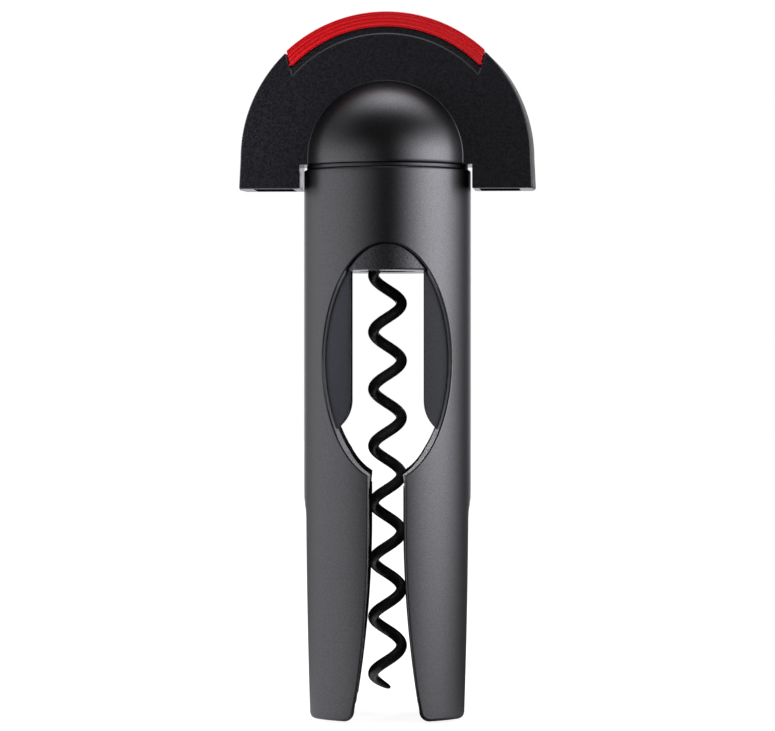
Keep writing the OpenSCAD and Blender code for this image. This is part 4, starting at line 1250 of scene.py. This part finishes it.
def tent_cloth(studio):
    """Cloth lit from outside: each soft box is a smooth step of its direction times one of its height.

    A box has a direction in degrees from the front, half widths of its fade and of its even middle, heights
    where it begins to fade and is gone, a strength, and the share of it that the floor mirrors.
    """
    right, left = studio.right_box, studio.left_box
    boxes = [(70, 63, 4, -2, 40, right, 0.04), (-80, 80, 18, -6, 31, left, 0.72),
             (-95, 60, 4, 50, 80, 0.22, 0.5), (80, 50, 4, 50, 80, 0.19, 0.5),
             (180, 80, 45, 30, 60, 0.15, 0.5), (180, 34, 14, 20, 40, 0.8, 0.7)]
    mat, tree, shader, out, place = new_material("studio cloth")
    middle = add(tree, "Mapping", {"Vector": place, "Location": (0, 0, -STAGE_Z)})
    toward = add(tree, "VectorMath", {0: middle.outputs[0]}, operation="NORMALIZE")
    part = add(tree, "SeparateXYZ", {0: toward.outputs[0]})
    front = add(tree, "Math", {0: part.outputs["Y"], 1: -1.0}, operation="MULTIPLY")
    turn = add(tree, "Math", {0: part.outputs["X"], 1: front.outputs[0]}, operation="ARCTAN2")
    rise = add(tree, "Math", {0: part.outputs["Z"]}, operation="ARCSINE")
    total = add(tree, "Math", {0: 0.015, 1: 0.0}, operation="ADD")
    for azimuth, fade, even, low, high, strength, mirrored in boxes:
        off = add(tree, "Math", {0: turn.outputs[0], 1: azimuth * DEG}, operation="SUBTRACT")
        off = add(tree, "Math", {0: off.outputs[0], 1: -math.pi, 2: math.pi}, operation="WRAP")
        off = add(tree, "Math", {0: off.outputs[0]}, operation="ABSOLUTE")
        wide = add(tree, "MapRange", {"Value": off.outputs[0], "From Min": fade * DEG,
                                      "From Max": even * DEG}, interpolation_type="SMOOTHSTEP")
        tall = add(tree, "MapRange", {"Value": rise.outputs[0], "From Min": high * DEG, "From Max": low * DEG,
                                      "To Max": strength}, interpolation_type="SMOOTHSTEP")
        below = add(tree, "MapRange", {"Value": rise.outputs[0], "From Min": -9 * DEG, "From Max": 4 * DEG,
                                       "To Min": mirrored}, interpolation_type="SMOOTHSTEP")
        tall = add(tree, "Math", {0: tall.outputs[0], 1: below.outputs[0]}, operation="MULTIPLY")
        box = add(tree, "Math", {0: wide.outputs[0], 1: tall.outputs[0]}, operation="MULTIPLY")
        total = add(tree, "Math", {0: total.outputs[0], 1: box.outputs[0]}, operation="ADD")
    # Box overhead: fades with the distance from its middle, which is oval
    near = add(tree, "Mapping", {"Vector": toward.outputs[0], "Location": (-0.1, 0, 0),
                                           "Scale": (1.67, 2.78, 0)})
    near = add(tree, "VectorMath", {0: near.outputs[0]}, operation="LENGTH")
    over = add(tree, "MapRange", {"Value": near.outputs["Value"], "From Min": 1.35, "From Max": 0.0,
                                            "To Max": studio.top_box}, interpolation_type="SMOOTHSTEP")
    up = add(tree, "Math", {0: rise.outputs[0], 1: 0.2}, operation="GREATER_THAN")
    over = add(tree, "Math", {0: over.outputs[0], 1: up.outputs[0]}, operation="MULTIPLY")
    total = add(tree, "Math", {0: total.outputs[0], 1: over.outputs[0]}, operation="ADD")
    glow = add(tree, "Emission", {"Color": linear("#fbfbff"), "Strength": total.outputs[0]})
    tree.links.new(glow.outputs[0], out.inputs["Surface"])
    return mat


def tent(studio):
    """Half ball over a flat bottom, which only reflections see."""
    radius = 2600
    b = np.linspace(0, math.pi / 2, 25)
    rows = np.concatenate([[[0.0, 0.0], [300.0, 0.0], [1000.0, 0.0]],
                           np.stack([radius * np.cos(b), radius * np.sin(b)], -1)])
    around = np.linspace(-180, 180, 97) * DEG
    obj = put("studio_tent", [lathe(rows, around) - [0, 0, 0.3]], tent_cloth(studio), None, None, None)
    obj.visible_camera = obj.visible_diffuse = obj.visible_shadow = False
    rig.stage(obj)


def lamp(name, azimuth, elevation, distance, width, height, radiance):
    """A soft box that the camera and reflections don't see."""
    az, el = azimuth * DEG, elevation * DEG
    toward = np.array([math.sin(az) * math.cos(el), -math.cos(az) * math.cos(el), math.sin(el)])
    data = bpy.data.lights.new(name, "AREA")
    data.shape = "RECTANGLE"
    data.size, data.size_y = width, height
    data.energy = radiance * math.pi * width * height
    obj = bpy.data.objects.new(name, data)
    bpy.context.scene.collection.objects.link(obj)
    obj.location = (toward * distance + [0, 0, STAGE_Z]).tolist()
    obj.rotation_euler = (math.pi / 2 - el, 0, az)
    obj.visible_camera = obj.visible_glossy = False


def make_stage(studio):
    scene = bpy.context.scene
    white_room()
    floor_card(studio)
    tent(studio)
    for name, *place, radiance in LAMPS:
        lamp(name, *place, radiance * studio.lamps)
    camera = bpy.data.cameras.new("camera")
    camera.lens, camera.sensor_width = CAMERA_LENS, 36
    eye = bpy.data.objects.new("camera", camera)
    scene.collection.objects.link(eye)
    az = CAMERA_AZIMUTH * DEG
    eye.location = (studio.distance * math.sin(az), -studio.distance * math.cos(az), CAMERA_Z)
    eye.rotation_euler = (math.pi / 2, 0, az)
    scene.camera = eye
    scene.view_settings.view_transform = "Standard"


# Operators, panel and registration


class CORKSCREW_OT_tube(bpy.types.Operator):
    """Builds the upper tube with its two windows"""
    bl_idname = "corkscrew.tube"
    bl_label = "Upper tube"

    def execute(self, context):
        make_tube(context.scene.corkscrew_tube)
        return {"FINISHED"}


class CORKSCREW_OT_legs(bpy.types.Operator):
    """Builds the two legs, which bend out of the tube's lower end"""
    bl_idname = "corkscrew.legs"
    bl_label = "Legs"

    def execute(self, context):
        make_legs(context.scene.corkscrew_tube)
        return {"FINISHED"}


class CORKSCREW_OT_neck_pads(bpy.types.Operator):
    """Builds the rubber pads inside the legs"""
    bl_idname = "corkscrew.neck_pads"
    bl_label = "Neck pads"

    def execute(self, context):
        make_pads(context.scene.corkscrew_liner)
        return {"FINISHED"}


class CORKSCREW_OT_sleeve(bpy.types.Operator):
    """Builds the liner with its plate and cheeks"""
    bl_idname = "corkscrew.sleeve"
    bl_label = "Liner"

    def execute(self, context):
        make_sleeve(context.scene.corkscrew_liner)
        return {"FINISHED"}


class CORKSCREW_OT_slip_ring(bpy.types.Operator):
    """Builds the ring that the handle turns on"""
    bl_idname = "corkscrew.slip_ring"
    bl_label = "Slip ring"

    def execute(self, context):
        make_slip_ring(context.scene.corkscrew_liner)
        return {"FINISHED"}


class CORKSCREW_OT_handle_shells(bpy.types.Operator):
    """Builds the handle's front and rear shells"""
    bl_idname = "corkscrew.handle_shells"
    bl_label = "Handle shells"

    def execute(self, context):
        make_handle_shells(context.scene.corkscrew_handle)
        return {"FINISHED"}


class CORKSCREW_OT_domes(bpy.types.Operator):
    """Builds the domes on both faces of the handle"""
    bl_idname = "corkscrew.domes"
    bl_label = "Domes"

    def execute(self, context):
        make_domes(context.scene.corkscrew_tube)
        return {"FINISHED"}


class CORKSCREW_OT_grip(bpy.types.Operator):
    """Builds the ribbed soft grip over the handle"""
    bl_idname = "corkscrew.grip"
    bl_label = "Grip"

    def execute(self, context):
        make_grip(context.scene.corkscrew_handle)
        return {"FINISHED"}


class CORKSCREW_OT_worm(bpy.types.Operator):
    """Builds the coated wire from its point to its bent end"""
    bl_idname = "corkscrew.worm"
    bl_label = "Worm"

    def execute(self, context):
        make_worm()
        return {"FINISHED"}


class CORKSCREW_OT_hidden_parts(bpy.types.Operator):
    """Gives the pieces that keep their CAD shape their materials"""
    bl_idname = "corkscrew.hidden_parts"
    bl_label = "Hidden parts"

    def execute(self, context):
        dress_hidden()
        return {"FINISHED"}


class CORKSCREW_OT_stage(bpy.types.Operator):
    """Builds the room, the floor, the lights and the camera"""
    bl_idname = "corkscrew.stage"
    bl_label = "Stage"

    def execute(self, context):
        make_stage(context.scene.corkscrew_studio)
        return {"FINISHED"}


STEPS = ["tube", "legs", "neck_pads", "sleeve", "slip_ring", "handle_shells", "domes", "grip", "worm",
         "hidden_parts", "stage"]
GROUPS = {"corkscrew_tube": TubeSettings, "corkscrew_liner": LinerSettings,
          "corkscrew_handle": HandleSettings, "corkscrew_worm": WormSettings,
          "corkscrew_studio": StudioSettings}


class CORKSCREW_PT_panel(bpy.types.Panel):
    """Sizes, colours and building steps of the corkscrew"""
    bl_label = "Corkscrew"
    bl_idname = "CORKSCREW_PT_panel"
    bl_space_type = "VIEW_3D"
    bl_region_type = "UI"
    bl_category = "Corkscrew"

    def draw(self, context):
        for key, group in GROUPS.items():
            box = self.layout.box()
            box.label(text=group.__doc__)
            for prop in group.__annotations__:
                box.prop(getattr(context.scene, key), prop)
        for step in STEPS:
            self.layout.operator("corkscrew." + step)


CLASSES = [*GROUPS.values(), *(globals()["CORKSCREW_OT_" + step] for step in STEPS), CORKSCREW_PT_panel]


def register():
    for cls in CLASSES:
        bpy.utils.register_class(cls)
    for key, group in GROUPS.items():
        setattr(bpy.types.Scene, key, PointerProperty(type=group))


def unregister():
    for key in GROUPS:
        delattr(bpy.types.Scene, key)
    for cls in reversed(CLASSES):
        bpy.utils.unregister_class(cls)


def main():
    register()
    for step in STEPS:
        getattr(bpy.ops.corkscrew, step)()
    box = [list(corner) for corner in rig.bounds()]
    with open("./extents.json", "w") as out:
        json.dump({"cad": CAD_BOX, "visual": box}, out)


if __name__ == "__main__":
    main()
